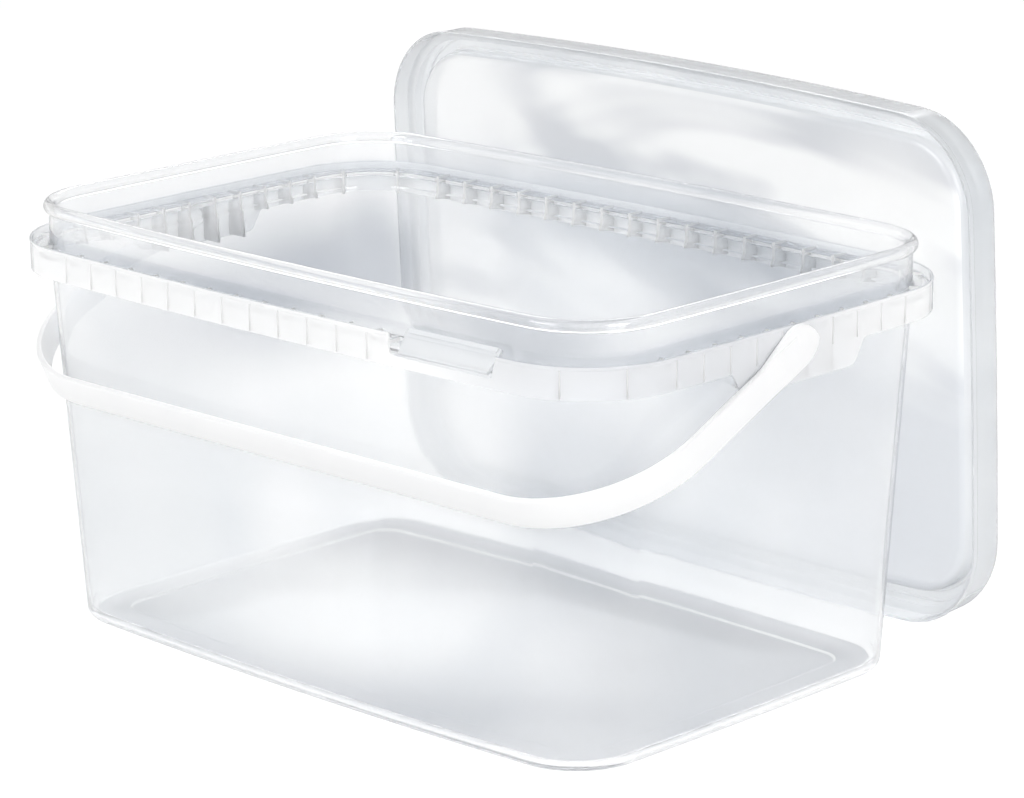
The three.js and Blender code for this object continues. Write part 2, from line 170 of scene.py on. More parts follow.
def make_piece(name, points, faces):
    """A mesh object from points in millimetres, smooth where its faces meet at a small angle."""
    mesh = bpy.data.meshes.new(name)
    mesh.from_pydata([Vector(p) * MM for p in points], [], faces)
    mesh.validate()
    mesh.shade_smooth()
    mesh.set_sharp_from_angle(angle=SHARP_ANGLE)
    return add_object(name, mesh)


def turn_outwards(piece):
    mesh = bmesh.new()
    mesh.from_mesh(piece.data)
    bmesh.ops.recalc_face_normals(mesh, faces=mesh.faces)
    mesh.to_mesh(piece.data)
    mesh.free()


def closed_rings(name, points, count):
    """A closed skin over rings of points, each with the same count, and a flat face at each end."""
    faces = []
    for low in range(0, len(points) - count, count):
        for point in range(count):
            after = (point + 1) % count
            faces.append((low + point, low + after, low + count + after, low + count + point))
    faces.append(tuple(reversed(range(count))))
    faces.append(tuple(range(len(points) - count, len(points))))
    piece = make_piece(name, points, faces)
    turn_outwards(piece)
    return piece


def loft(name, stations, lower=None):
    """A skin over the stations. Lower, if given, changes the heights along a station's outline."""
    rings = []
    for index, (half_x, half_y, corner, z) in enumerate(stations):
        plan = outline(half_x, half_y, corner)
        heights = np.full(len(plan), z)
        if lower is not None:
            heights = lower(index, plan, heights)
        rings.append(np.column_stack((plan, heights)))
    return closed_rings(name, np.concatenate(rings), len(rings[0]))


print("faces meet sharply from", round(math.degrees(SHARP_ANGLE)), "degrees")

# %% [markdown]
# ## The tub and its rim
# The section runs from the underside up the outer wall, out over the step, round the gutter's
# skirt, over the bead and down the inside. The skirt's lower edge dips at the middle of the short
# sides: that is the apron that carries the handle. The dip is a height that changes along the
# outline, which a loft of stations can take in its stride.

# %% Section of the tub
SKIRT_FACE, LIP_HEIGHT, APRON_BOTTOM = 0.15, 1.3, 109.2
BASE_PANEL_INSET, FLOOR_PANEL_INSET = BASE_ROUND + 5.2, WALL + 13.0
PANEL_SLOPE, PANEL_DROP, PANEL_END = 0.8, 0.5, 2.0
WALL_LEVELS = (30.0, 60.0, 90.0)


def tub_section():
    """(Station, edge radius) pairs of the tub, from the underside's middle to the floor's."""
    under_step, under_ledge = STEP_HEIGHT - STEP_RISE, LEDGE_TOP - LEDGE_THICKNESS
    inner = COLLAR_INSET + WALL
    outer_join = math.sqrt(BEAD_RADIUS ** 2 - (COLLAR_INSET - BEAD_INSET) ** 2)
    inner_join = math.sqrt(BEAD_RADIUS ** 2 - (inner - BEAD_INSET) ** 2)
    bead_start = -math.atan2(outer_join, BEAD_INSET - COLLAR_INSET)
    bead_stop = math.pi + math.atan2(inner_join, inner - BEAD_INSET)
    return [
        (wall_at(BASE_PANEL_INSET + PANEL_SLOPE, PANEL_DROP), 0),
        (wall_at(BASE_PANEL_INSET, 0.0), 0),
        *arc_stations(wall_at, BASE_ROUND, BASE_ROUND, BASE_ROUND, -math.pi / 2, 0, 7),
        *[(wall_at(0, z), 0) for z in WALL_LEVELS],
        (wall_at(0, under_step), 1.2),
        (rim_at(COLLAR_INSET, under_step + WALL / 2), 0.9),
        (rim_at(COLLAR_INSET, under_ledge), 0.5),
        (rim_at(SKIRT_WALL, under_ledge), 0.4),
        (rim_at(SKIRT_WALL, SKIRT_BOTTOM), 0.3),
        (rim_at(SKIRT_FACE, SKIRT_BOTTOM), 0.3),
        (rim_at(SKIRT_FACE, SKIRT_TOP - LIP_HEIGHT), 0.2),
        (rim_at(0, SKIRT_TOP - 0.75 * LIP_HEIGHT), 0.2),
        (rim_at(0, SKIRT_TOP), 0.4),
        (rim_at(SKIRT_WALL, SKIRT_TOP), 0.4),
        (rim_at(SKIRT_WALL, LEDGE_TOP), 0.6),
        (rim_at(COLLAR_INSET, LEDGE_TOP), 0.6),
        *arc_stations(rim_at, BEAD_INSET, HEIGHT - BEAD_RADIUS, BEAD_RADIUS,
                      bead_start, bead_stop, 22),
        (rim_at(inner, STEP_HEIGHT), 0.8),
        (wall_at(WALL, STEP_HEIGHT - WALL / 2), 0.8),
        *[(wall_at(WALL, z), 0) for z in reversed(WALL_LEVELS)],
        *arc_stations(wall_at, WALL + INNER_ROUND, FLOOR_THICKNESS + INNER_ROUND, INNER_ROUND,
                      0, -math.pi / 2, 7),
        (wall_at(FLOOR_PANEL_INSET, FLOOR_THICKNESS), 0.4),
        (wall_at(FLOOR_PANEL_INSET + PANEL_SLOPE, FLOOR_THICKNESS - PANEL_DROP), 0.4),
        (wall_at(FLOOR_PANEL_INSET + PANEL_END, FLOOR_THICKNESS - PANEL_DROP), 0),
    ]


tub_stations = soften(tub_section())
print("stations of the tub:", len(tub_stations))

# %% Tub with the apron's dip
APRON_TOP_HALF, APRON_BOTTOM_HALF, APRON_SHIFT, APRON_SOFT = 29.8, 25.0, 2.2, 2.4
EDGE_RISE, EDGE_DEPTH, END_DEPTH = 0.8, 0.35, 8.0
low_edge = [index for index, station in enumerate(tub_stations)
            if station[3] < SKIRT_BOTTOM + EDGE_RISE
            and station[0] > LENGTH / 2 - SKIRT_WALL - EDGE_DEPTH]


def apron_dip(y):
    """How far the skirt's lower edge hangs down at a place along a short side."""
    depth = SKIRT_BOTTOM - APRON_BOTTOM
    out = abs(y - APRON_SHIFT)
    slant = depth * (APRON_TOP_HALF - out) / (APRON_TOP_HALF - APRON_BOTTOM_HALF)
    near = max(APRON_SOFT - abs(slant - depth), 0)
    return max(min(slant, depth) - near ** 2 / (4 * APRON_SOFT), 0)


def lower_apron(index, plan, heights):
    if index in low_edge:
        on_end = np.abs(plan[:, 0]) > LENGTH / 2 - END_DEPTH
        for point in np.flatnonzero(on_end & (np.abs(plan[:, 1]) < SHORT_SPAN)):
            heights[point] -= apron_dip(plan[point, 1])
    return heights


tub = loft("tub", tub_stations, lower_apron)
print("tub:", len(tub.data.polygons), "faces,", len(low_edge), "stations on the skirt's lower edge")

# %% [markdown]
# ## Cuts in the rim
# Two kinds of opening break the skirt: the notch in front, in which the tear-off tab stands, and
# the two round seats of the handle's pins. A Boolean cuts them, because they cross the loft's
# lines, and its result becomes a plain mesh at once.

# %% Cutter of the notch
TAB_MIDDLE = LENGTH * 0.283
EDGE_FLAT_X, EDGE_FLAT_Y = LENGTH / 2 - SHORT_BOW, WIDTH / 2 - LONG_BOW
TAB_EDGE_Y = bow(TAB_MIDDLE, -EDGE_FLAT_Y, EDGE_FLAT_X, EDGE_FLAT_Y)[1]
TAB_TURN = math.atan(2 * LONG_BOW * TAB_MIDDLE / EDGE_FLAT_X ** 2)
TAB_FRAME = Matrix.Translation((TAB_MIDDLE, TAB_EDGE_Y, 0)) @ Matrix.Rotation(TAB_TURN, 4, "Z")
TAB_LENGTH, TAB_HEIGHT, TAB_SLANT = 38.0, 8.2, 2.4
STRIP_TOP = SKIRT_BOTTOM + 3.3
NOTCH_LEFT, NOTCH_RIGHT, NOTCH_DEPTH = -TAB_LENGTH / 2 - 4.0, TAB_LENGTH / 2 + 1.2, COLLAR_INSET - 0.8
CUT_PAST = 2.0


def rounded(corners, steps=5):
    """A polygon whose corners (x, y, radius) are rounded."""
    points = []
    for index, (x, y, radius) in enumerate(corners):
        here = Vector((x, y))
        if radius == 0:
            points.append(here)
            continue
        to_before = (Vector(corners[index - 1][:2]) - here).normalized()
        to_after = (Vector(corners[(index + 1) % len(corners)][:2]) - here).normalized()
        reach = radius / math.tan(to_before.angle(to_after) / 2)
        for share in np.linspace(0, 1, steps + 1):
            points.append(
                here + to_before * reach * (1 - share) ** 2 + to_after * reach * share ** 2)
    return points


def slab(name, polygon, slab_frame, near, far):
    """A prism between two planes: the polygon lies in the frame's X and Z, the planes along Y."""
    points = [slab_frame @ Vector((p[0], y, p[1])) for y in (near, far) for p in polygon]
    return closed_rings(name, points, len(polygon))


notch_cutter = slab("notch_cutter", rounded([
    (NOTCH_LEFT, STRIP_TOP, 3.0),
    (NOTCH_RIGHT - TAB_SLANT * (SKIRT_TOP - STRIP_TOP) / TAB_HEIGHT, STRIP_TOP, 0.6),
    (NOTCH_RIGHT + TAB_SLANT * CUT_PAST / TAB_HEIGHT, SKIRT_TOP + CUT_PAST, 0),
    (NOTCH_LEFT, SKIRT_TOP + CUT_PAST, 0),
]), TAB_FRAME, -CUT_PAST, NOTCH_DEPTH)
print("notch from", round(NOTCH_LEFT + TAB_MIDDLE, 1), "to", round(NOTCH_RIGHT + TAB_MIDDLE, 1))

# %% Cut the notch and the pin seats
PIN_HOLE_RADIUS, SEAT_BEHIND = 3.05, 1.0


def lathe(name, section, axis_point, steps=32):
    """Turns (distance along X, radius) pairs round an axis that runs along X."""
    turn = np.linspace(0, 2 * math.pi, steps, endpoint=False)
    points = [(along, axis_point[0] + radius * math.cos(a), axis_point[1] + radius * math.sin(a))
              for along, radius in section for a in turn]
    return closed_rings(name, points, steps)


def plain_copy(piece, name):
    """Turns the piece with its modifiers into a plain mesh."""
    depsgraph = bpy.context.evaluated_depsgraph_get()
    mesh = bpy.data.meshes.new_from_object(piece.evaluated_get(depsgraph))
    mesh.name = name
    piece.modifiers.clear()
    piece.data = mesh
    piece.name = name
    return piece


def cut(piece, cutter):
    modifier = piece.modifiers.new("cut", "BOOLEAN")
    modifier.object = cutter
    modifier.solver = "EXACT"
    plain_copy(piece, piece.name)
    bpy.data.objects.remove(cutter)


cut(tub, notch_cutter)
for side in (-1, 1):
    seat = [(side * (LENGTH / 2 + past), PIN_HOLE_RADIUS)
            for past in (-SKIRT_WALL - SEAT_BEHIND, CUT_PAST)]
    cut(tub, lathe("seat_cutter", seat, (0, PIN_HEIGHT)))
tub.data.set_sharp_from_angle(angle=SHARP_ANGLE)
print("tub after the cuts:", len(tub.data.polygons), "faces")

# %% [markdown]
# ## Ribs of the gutter
# Thin ribs stand across the gutter, under its floor, and low webs above it tie the skirt to the
# collar. They repeat at an even pitch, so Geometry Nodes place them: a path on the skirt's face is
# resampled to the number of ribs, each point gets one rib, and the rib turns with the path.

# %% Helpers for node trees
def add_node(tree, kind, inputs=(), **settings):
    """A node whose inputs, by name or number, take values or the sockets of other nodes."""
    node = tree.nodes.new(kind)
    for name, value in settings.items():
        setattr(node, name, value)
    for name, value in dict(inputs).items():
        if isinstance(value, bpy.types.NodeSocket):
            tree.links.new(value, node.inputs[name])
        else:
            node.inputs[name].default_value = value
    return node


def open_group(name, kind, inputs, outputs):
    """A node group with its sockets. Returns the tree, its values coming in and those going out."""
    tree = bpy.data.node_groups.new(name, kind)
    for way, sockets in (("INPUT", inputs), ("OUTPUT", outputs)):
        for label, (type_name, *default) in sockets.items():
            socket = tree.interface.new_socket(
                label, in_out=way, socket_type="NodeSocket" + type_name)
            if default:
                socket.default_value = default[0]
    return tree, add_node(tree, "NodeGroupInput").outputs, add_node(tree, "NodeGroupOutput").inputs


def maths(tree, operation, *values):
    """The result of a Math node whose inputs are numbers or sockets."""
    node = add_node(tree, "ShaderNodeMath", enumerate(values), operation=operation)
    return node.outputs["Value"]


print("node helpers: add_node, open_group, maths")

# %% The rib tree
RIB_THICKNESS, WELD_DISTANCE = 0.9, 0.01


def rib_tree():
    """Path in, ribs out. Inputs: the rib's flat section, how many, how thick, the material."""
    tree, start, end = open_group("ribs_along_a_path", "GeometryNodeTree", {
        "Path": ("Geometry",), "Rib Section": ("Object",), "Rib Count": ("Int", 8),
        "Rib Thickness": ("Float", RIB_THICKNESS * MM), "Finish": ("Material",),
    }, {"Ribs": ("Geometry",)})
    flat = add_node(tree, "GeometryNodeObjectInfo", {
        "Object": start["Rib Section"]}).outputs["Geometry"]
    thick = add_node(tree, "GeometryNodeExtrudeMesh", {
        "Mesh": flat, "Offset Scale": start["Rib Thickness"], "Individual": False})
    back = add_node(tree, "GeometryNodeFlipFaces", {"Mesh": flat})
    both = add_node(tree, "GeometryNodeJoinGeometry", {"Geometry": thick.outputs["Mesh"]})
    tree.links.new(back.outputs["Mesh"], both.inputs["Geometry"])
    weld = add_node(tree, "GeometryNodeMergeByDistance", {
        "Geometry": both.outputs["Geometry"], "Distance": WELD_DISTANCE * MM})
    shift = add_node(tree, "ShaderNodeCombineXYZ", {
        "Y": maths(tree, "MULTIPLY", start["Rib Thickness"], -0.5)})
    rib = add_node(tree, "GeometryNodeSetPosition", {
        "Geometry": weld.outputs["Geometry"], "Offset": shift.outputs["Vector"]})
    curve = add_node(tree, "GeometryNodeMeshToCurve", {"Mesh": start["Path"]})
    places = add_node(tree, "GeometryNodeResampleCurve", {
        "Curve": curve.outputs["Curve"], "Count": start["Rib Count"]})
    along = add_node(tree, "GeometryNodeInputTangent").outputs["Tangent"]
    turn = add_node(tree, "FunctionNodeAlignRotationToVector", {"Vector": along},
                    axis="Y", pivot_axis="Z")
    spread = add_node(tree, "GeometryNodeInstanceOnPoints", {
        "Points": places.outputs["Curve"], "Instance": rib.outputs["Geometry"],
        "Rotation": turn.outputs["Rotation"]})
    real = add_node(tree, "GeometryNodeRealizeInstances", {"Geometry": spread.outputs["Instances"]})
    finish = add_node(tree, "GeometryNodeSetMaterial", {
        "Geometry": real.outputs["Geometry"], "Material": start["Finish"]})
    tree.links.new(finish.outputs["Geometry"], end["Ribs"])
    return tree


RIB_TREE = rib_tree()
RIB_SOCKETS = {item.name: item.identifier for item in RIB_TREE.interface.items_tree
               if item.in_out == "INPUT"}
print("rib tree inputs:", sorted(RIB_SOCKETS))

# %% The rib's sections: plain, and deep over the aprons
RIB_FOOT, WEB_AT_COLLAR, WEB_AT_SKIRT = 0.7, 0.9, 0.3


def rib_section(name, bottom):
    """A flat face in X (inwards) and Z, whose normal is +Y."""
    corners = [
        (SKIRT_WALL / 2, bottom),
        (LENGTH / 2 - wall_at(0, bottom)[0] + WALL / 2, bottom),
        (WALL_INSET + WALL / 2, STEP_HEIGHT - STEP_RISE),
        (COLLAR_INSET + WALL / 2, STEP_HEIGHT),
        (COLLAR_INSET + WALL / 2, LEDGE_TOP + WEB_AT_COLLAR),
        (SKIRT_WALL / 2, LEDGE_TOP + WEB_AT_SKIRT),
    ]
    return make_piece(name, [(x, 0, z) for x, z in corners], [tuple(reversed(range(6)))])


plain_rib = rib_section("plain_rib", SKIRT_BOTTOM + RIB_FOOT)
deep_rib = rib_section("deep_rib", APRON_BOTTOM + RIB_FOOT)

# Where a rib meets the skirt, the plastic shrinks more and leaves a fine line on its face
LINE_OUT, LINE_IN, LINE_WIDTH = 0.1, 0.4, 0.3
LINE_BOTTOM, LINE_TOP = SKIRT_BOTTOM + RIB_FOOT, SKIRT_TOP - LIP_HEIGHT
sink_line = make_piece("sink_line", [
    (LINE_OUT, 0, LINE_BOTTOM), (LINE_IN, 0, LINE_BOTTOM),
    (LINE_IN, 0, LINE_TOP), (LINE_OUT, 0, LINE_TOP),
], [(3, 2, 1, 0)])
print("deep rib, height mm:", round(deep_rib.dimensions.z / MM, 1))

# %% Rows of ribs, clockwise round the rim
LONG_POINTS, SHORT_POINTS, CORNER_POINTS = 40, 30, 12


def skirt_point(x, y):
    return (*bow(x, y, EDGE_FLAT_X, EDGE_FLAT_Y), 0.0)


def long_row(side, first, last):
    """Path along a long side. Inwards is to the right of the path, so the front runs to -X."""
    return [skirt_point(x, side * EDGE_FLAT_Y) for x in np.linspace(first, last, LONG_POINTS)]


def short_row(side, first, last):
    return [skirt_point(side * EDGE_FLAT_X, y) for y in np.linspace(first, last, SHORT_POINTS)]


def corner_row(sign_x, sign_y, first, last):
    """Path round a corner, from one share of its quarter turn to another."""
    return [skirt_point(
        sign_x * (EDGE_FLAT_X - SKIRT_CORNER + SKIRT_CORNER * math.cos(angle)),
        sign_y * (EDGE_FLAT_Y - SKIRT_CORNER + SKIRT_CORNER * math.sin(angle)))
        for angle in np.linspace(first, last, CORNER_POINTS) * math.pi / 2]


def rib_row(name, path, count, section, finish, thickness=RIB_THICKNESS):
    """Runs the rib tree on a path and returns the ribs as a plain mesh object."""
    mesh = bpy.data.meshes.new(name)
    mesh.from_pydata([Vector(p) * MM for p in path], [(i, i + 1) for i in range(len(path) - 1)], [])
    row = add_object(name, mesh)
    modifier = row.modifiers.new("ribs", "NODES")
    modifier.node_group = RIB_TREE
    modifier[RIB_SOCKETS["Rib Section"]] = section
    modifier[RIB_SOCKETS["Rib Count"]] = count
    modifier[RIB_SOCKETS["Rib Thickness"]] = thickness * MM
    modifier[RIB_SOCKETS["Finish"]] = finish
    return plain_copy(row, name)


def join(name, pieces):
    """Joins mesh objects into one piece, which keeps the material of each."""
    materials = list(dict.fromkeys(m for piece in pieces for m in piece.data.materials))
    mesh = bmesh.new()
    for piece in pieces:
        done = len(mesh.faces)
        mesh.from_mesh(piece.data)
        mesh.faces.ensure_lookup_table()
        if materials:
            for face in mesh.faces[done:]:
                face.material_index = materials.index(piece.data.materials[0])
    joined = bpy.data.meshes.new(name)
    mesh.to_mesh(joined)
    mesh.free()
    for material in materials:
        joined.materials.append(material)
    for piece in pieces:
        bpy.data.objects.remove(piece)
    return add_object(name, joined)


print("a front row starts at", [round(v, 1) for v in long_row(-1, LENGTH / 4, 0)[0]])

# %% [markdown]
# ## Finishes
# The plastic is clear with a trace of milk in it: the walls let most of the light through a little
# blurred, and where the eye looks along a wall, at an edge or a round, they turn blue-grey. Alpha
# could fake that, but it loses the bright and dark lines that bent light draws in every rib and
# bead. So the walls refract: a Principled shader with most of its weight in transmission, and the
# rest left as the milk. Shadow rays pass straight through, since the lamps couldn't reach the
# inside otherwise. Faint flow lines and an uneven gloss come from one shared node group, which also
# paints a band of light and shade above a height where a finish asks for it. Each finish adds a few
# soft patches of painted light and painted shade, where highlights, reflections and shade fall.

# %% The moulded-surface group, shared by both plastics
FINE_SCALE, FINE_DETAIL, FLOW_DETAIL, FLOW_MIDDLE = 90.0, 3.0, 1.5, 0.5


def rgba(value):
    """Gives a colour its fourth number, and leaves a number or a socket as it is."""
    return (*value, 1) if isinstance(value, tuple) else value


def blend_colours(tree, share, first, second):
    """A colour mix whose two colours are tuples or sockets."""
    mix = add_node(tree, "ShaderNodeMix", {
        "Factor": share, "A": rgba(first), "B": rgba(second)}, data_type="RGBA")
    return mix.outputs["Result"]


def ramp(tree, value, low, high, kind="SMOOTHSTEP"):
    """0 at the low end of a value and 1 at its high end."""
    between = add_node(tree, "ShaderNodeMapRange", {
        "Value": value, "From Min": low, "From Max": high}, interpolation_type=kind)
    return between.outputs["Result"]


def moulded_group():
    """Colour, roughness and bump height of an injection-moulded skin. Above a height the colour turns
    to a painted top tone of light and shade.
    """
    tree, start, end = open_group("moulded_skin", "ShaderNodeTree", {
        "Vector": ("Vector",), "Pale": ("Color",), "Deep": ("Color",), "Rim Colour": ("Color",),
        "Rim From": ("Float", 10.0), "Rim To": ("Float", 11.0), "Flow Scale": ("Float", 8.0),
        "Flow Distortion": ("Float", 1.2), "Flow Sharpness": ("Float", 0.2),
        "Grain": ("Float", 0.0), "Base Roughness": ("Float", 0.2),
        "Roughness Spread": ("Float", 0.08),
    }, {"Colour": ("Color",), "Roughness": ("Float",), "Height": ("Float",)})
    flow = add_node(tree, "ShaderNodeTexNoise", {
        "Vector": start["Vector"], "Scale": start["Flow Scale"], "Detail": FLOW_DETAIL,
        "Distortion": start["Flow Distortion"]}).outputs["Fac"]
    fine = add_node(tree, "ShaderNodeTexNoise", {
        "Vector": start["Vector"], "Scale": FINE_SCALE, "Detail": FINE_DETAIL}).outputs["Fac"]
    low = maths(tree, "SUBTRACT", FLOW_MIDDLE, start["Flow Sharpness"])
    high = maths(tree, "ADD", FLOW_MIDDLE, start["Flow Sharpness"])
    tint = blend_colours(tree, ramp(tree, flow, low, high), start["Pale"], start["Deep"])
    height = add_node(tree, "ShaderNodeSeparateXYZ", {0: start["Vector"]}).outputs["Z"]
    # Above a height the colour blends into another tone: painted light and shade near the top of a
    # moulding
    top_light_and_shade_share = ramp(tree, height, start["Rim From"], start["Rim To"])
    results = {
        "Colour": blend_colours(tree, top_light_and_shade_share, tint, start["Rim Colour"]),
        "Roughness": maths(tree, "MULTIPLY_ADD", fine, start["Roughness Spread"],
                           start["Base Roughness"]),
        "Height": maths(tree, "MULTIPLY_ADD", fine, start["Grain"], flow),
    }
    for name, value in results.items():
        tree.links.new(value, end[name])
    return tree


MOULDED = moulded_group()
print("moulded skin outputs:", [i.name for i in MOULDED.interface.items_tree if i.in_out == "OUTPUT"])

# %% Materials of the shared skin
BUMP_HEIGHT, PLASTIC_IOR = 0.0004, 1.49
FACING_FROM, FACING_TO, PATCH_FULL, PATCH_END = 0.74, 0.95, 0.25, 1.1
SHADOW_TINT = (0.92, 0.925, 0.93)


def new_material(name):
    material = bpy.data.materials.new(name)
    material.use_nodes = True
    material.node_tree.nodes.clear()
    return material, material.node_tree


def moulded_skin(tree, bump, stretch=(1, 1, 1), **sizes):
    """Places the shared group, whose inputs are the sizes. Returns colour, roughness, normal, place."""
    place = add_node(tree, "ShaderNodeTexCoord").outputs["Object"]
    stretched = add_node(tree, "ShaderNodeMapping", {"Vector": place, "Scale": stretch})
    inputs = {name.replace("_", " ").title(): rgba(value) for name, value in sizes.items()}
    skin = add_node(tree, "ShaderNodeGroup", {
        "Vector": stretched.outputs["Vector"], **inputs}, node_tree=MOULDED).outputs
    normal = add_node(tree, "ShaderNodeBump", {
        "Height": skin["Height"], "Distance": BUMP_HEIGHT, "Strength": bump}).outputs["Normal"]
    return skin["Colour"], skin["Roughness"], normal, place


def patch(tree, place, colour, spot, spread, second):
    """Another colour round a spot, for painted light and shade, that fades out at its spread. A spread
    of 0 leaves an axis out.
    """
    away = add_node(tree, "ShaderNodeVectorMath", {0: place, 1: spot}, operation="SUBTRACT")
    scaled = add_node(tree, "ShaderNodeVectorMath", {
        0: away.outputs["Vector"], 1: [1 / s if s else 0 for s in spread]}, operation="MULTIPLY")
    far = add_node(tree, "ShaderNodeVectorMath", {0: scaled.outputs["Vector"]}, operation="LENGTH")
    share = ramp(tree, far.outputs["Value"], PATCH_FULL, PATCH_END)
    return blend_colours(tree, share, second, colour)


def clear_plastic(name, milk, edge, bump=0.12, painted_patches=(), **sizes):
    """Milk is the share of the light that the skin scatters, the rest goes through it. Edge is
    its colour where the eye looks along it. Painted patches are (spot, spread, colour): spots of
    painted light and shade."""
    material, tree = new_material(name)
    colour, roughness, normal, place = moulded_skin(tree, bump, **sizes)
    for spot, spread, second in painted_patches:
        colour = patch(tree, place, colour, spot, spread, second)
    facing = add_node(tree, "ShaderNodeLayerWeight", {"Blend": 0.5}).outputs["Facing"]
    along = ramp(tree, facing, FACING_FROM, FACING_TO, "LINEAR")
    shader = add_node(tree, "ShaderNodeBsdfPrincipled", {
        "Base Color": blend_colours(tree, along, colour, edge), "Roughness": roughness,
        "Normal": normal, "Transmission Weight": 1 - milk, "IOR": PLASTIC_IOR})
    unbent = add_node(tree, "ShaderNodeBsdfTransparent", {"Color": rgba(SHADOW_TINT)})
    rays = add_node(tree, "ShaderNodeLightPath").outputs
    choose = add_node(tree, "ShaderNodeMixShader", {
        "Fac": rays["Is Shadow Ray"], 1: shader.outputs["BSDF"], 2: unbent.outputs["BSDF"]})
    add_node(tree, "ShaderNodeOutputMaterial", {"Surface": choose.outputs["Shader"]})
    return material


print("shadows are tinted", SHADOW_TINT)

# %% [markdown]
# ## Clear finishes
# All of them are one plastic, and differ in what the mould and the thickness make of it: glossy
# walls, a milkier floor, a frosted skirt, whiter ribs, and the lid's wavy panel, whose tones are a
# painted reflection. Several of them also carry patches of painted light and shade. The back ribs
# are clearer than the others, because they show only faintly through the walls. The frosted pieces
# have a pale edge, so that many thin edges close together don't draw a dark net.

# %% Clear plastic of the tub
PURE_WHITE, SOFT_WHITE = (1.0, 1.0, 1.0), (0.98, 0.983, 0.985)
GREY_EDGE, PALE_EDGE = (0.135, 0.15, 0.18), (0.55, 0.57, 0.60)
# Painted light and shade on the tub's outside: a grey band of painted shade round the collar, painted
# shade at the rim's front right, a white painted highlight on the front wall, painted shade low on the
# front left and at the front-right corner, and a white painted highlight on the bead above the band
CLEAR = clear_plastic(
    "clear_plastic_tub", 0.2, GREY_EDGE, painted_patches=(
        ((0, 0, 0.1255), (0, 0, 0.0045), (0.66, 0.685, 0.72)),
        ((0.10, -0.082, 0.132), (0.05, 0.03, 0.012), (0.60, 0.62, 0.65)),
        ((0.045, -0.085, 0.10), (0.06, 0.05, 0.04), PURE_WHITE),
        ((-0.07, -0.08, 0.04), (0.09, 0.05, 0.07), (0.80, 0.82, 0.84)),
        ((0.116, -0.075, 0.09), (0.032, 0.04, 0.04), (0.70, 0.72, 0.75))),
    pale=(0.97, 0.973, 0.98), deep=(0.87, 0.885, 0.905), rim_colour=PURE_WHITE,
    rim_from=0.1275, rim_to=0.132, flow_scale=9.0, base_roughness=0.02, roughness_spread=0.05)
# Painted shade inside the tub: dark on the left end wall and in the back-left corner, grey on the right
# of the back wall and towards the top of the inner walls; and a white painted highlight on the back of
# the rim
INSIDE = clear_plastic(
    "clear_plastic_inside", 0.12, GREY_EDGE, painted_patches=(
        ((-0.128, 0.05, 0.088), (0.028, 0.13, 0.034), (0.38, 0.41, 0.46)),
        ((-0.122, 0.074, 0.09), (0.022, 0.022, 0.04), (0.42, 0.45, 0.50)),
        ((0.06, 0.08, 0.10), (0.07, 0.05, 0.06), (0.60, 0.625, 0.66)),
        ((0.09, 0.08, 0.133), (0.06, 0.03, 0.012), PURE_WHITE)),
    pale=PURE_WHITE, deep=(0.94, 0.95, 0.96), rim_colour=(0.90, 0.91, 0.925),
    rim_from=0.121, rim_to=0.129, flow_scale=11.0, base_roughness=0.02, roughness_spread=0.05)
# The floor's colour is painted light and shade: dark grey towards its edges as painted shade, and white
# round a spot off its middle as a painted pool of light
FLOOR = clear_plastic(
    "clear_plastic_floor", 0.6, GREY_EDGE, painted_patches=(
        ((-0.06, -0.01, 0), (0.14, 0.08, 0), PURE_WHITE),),
    pale=(0.45, 0.47, 0.50), deep=(0.36, 0.38, 0.415), flow_scale=12.0, base_roughness=0.1)
# Painted shade: the skirt turns greyer towards its right end
FROSTED = clear_plastic(
    "clear_plastic_skirt", 0.6, PALE_EDGE, painted_patches=(
        ((0.125, -0.05, 0.12), (0.07, 0.1, 0), (0.84, 0.85, 0.87)),),
    pale=PURE_WHITE, deep=SOFT_WHITE, flow_scale=14.0, base_roughness=0.2)
print("finishes of the tub:", [m.name for m in (CLEAR, INSIDE, FLOOR, FROSTED)])

# %% Clear plastic of the ribs, the lid and the tab
RIBS = clear_plastic(
    "clear_plastic_ribs", 0.8, PALE_EDGE, pale=PURE_WHITE, deep=(0.97, 0.975, 0.98),
    flow_scale=14.0, base_roughness=0.2)
FAINT = clear_plastic(
    "clear_plastic_back_ribs", 0.3, PALE_EDGE, pale=PURE_WHITE, deep=SOFT_WHITE,
    flow_scale=14.0, base_roughness=0.3)
# The grey of this finish is painted shade on the sink lines of the long sides and corners
SHADED_LINE = clear_plastic(
    "clear_plastic_seam", 0.7, PALE_EDGE, pale=(0.88, 0.89, 0.905), deep=(0.83, 0.845, 0.865),
    flow_scale=14.0, base_roughness=0.3)
# The lid's colours are painted: its wavy pale and deep tones stand for reflections on the panel, and
# its patches are painted light and shade: lighter low in the middle and high on the left, darker low on
# the right, a grey band of painted shade near the top, and a white painted highlight on the right
CLEAR_LID = clear_plastic(
    "clear_plastic_lid", 0.4, GREY_EDGE, bump=0.4, painted_patches=(
        ((-0.02, 0.1, 0.045), (0.15, 0, 0.065), (0.95, 0.953, 0.957)),
        ((0.11, 0.1, 0.03), (0.10, 0, 0.09), (0.81, 0.825, 0.85)),
        ((-0.115, 0.1, 0.15), (0.05, 0, 0.04), (0.95, 0.955, 0.96)),
        ((-0.03, 0.1, 0.116), (0.10, 0, 0.022), (0.66, 0.69, 0.73)),
        ((0.088, 0.1, 0.12), (0.04, 0, 0.05), PURE_WHITE)),
    pale=SOFT_WHITE, deep=(0.74, 0.755, 0.78), flow_scale=11.0, flow_distortion=2.6,
    flow_sharpness=0.07, base_roughness=0.09, stretch=(0.4, 1, 1.2))
SATIN = clear_plastic(
    "clear_plastic_satin", 0.38, GREY_EDGE, pale=(0.88, 0.89, 0.90), deep=(0.76, 0.78, 0.80),
    flow_scale=12.0, base_roughness=0.17)
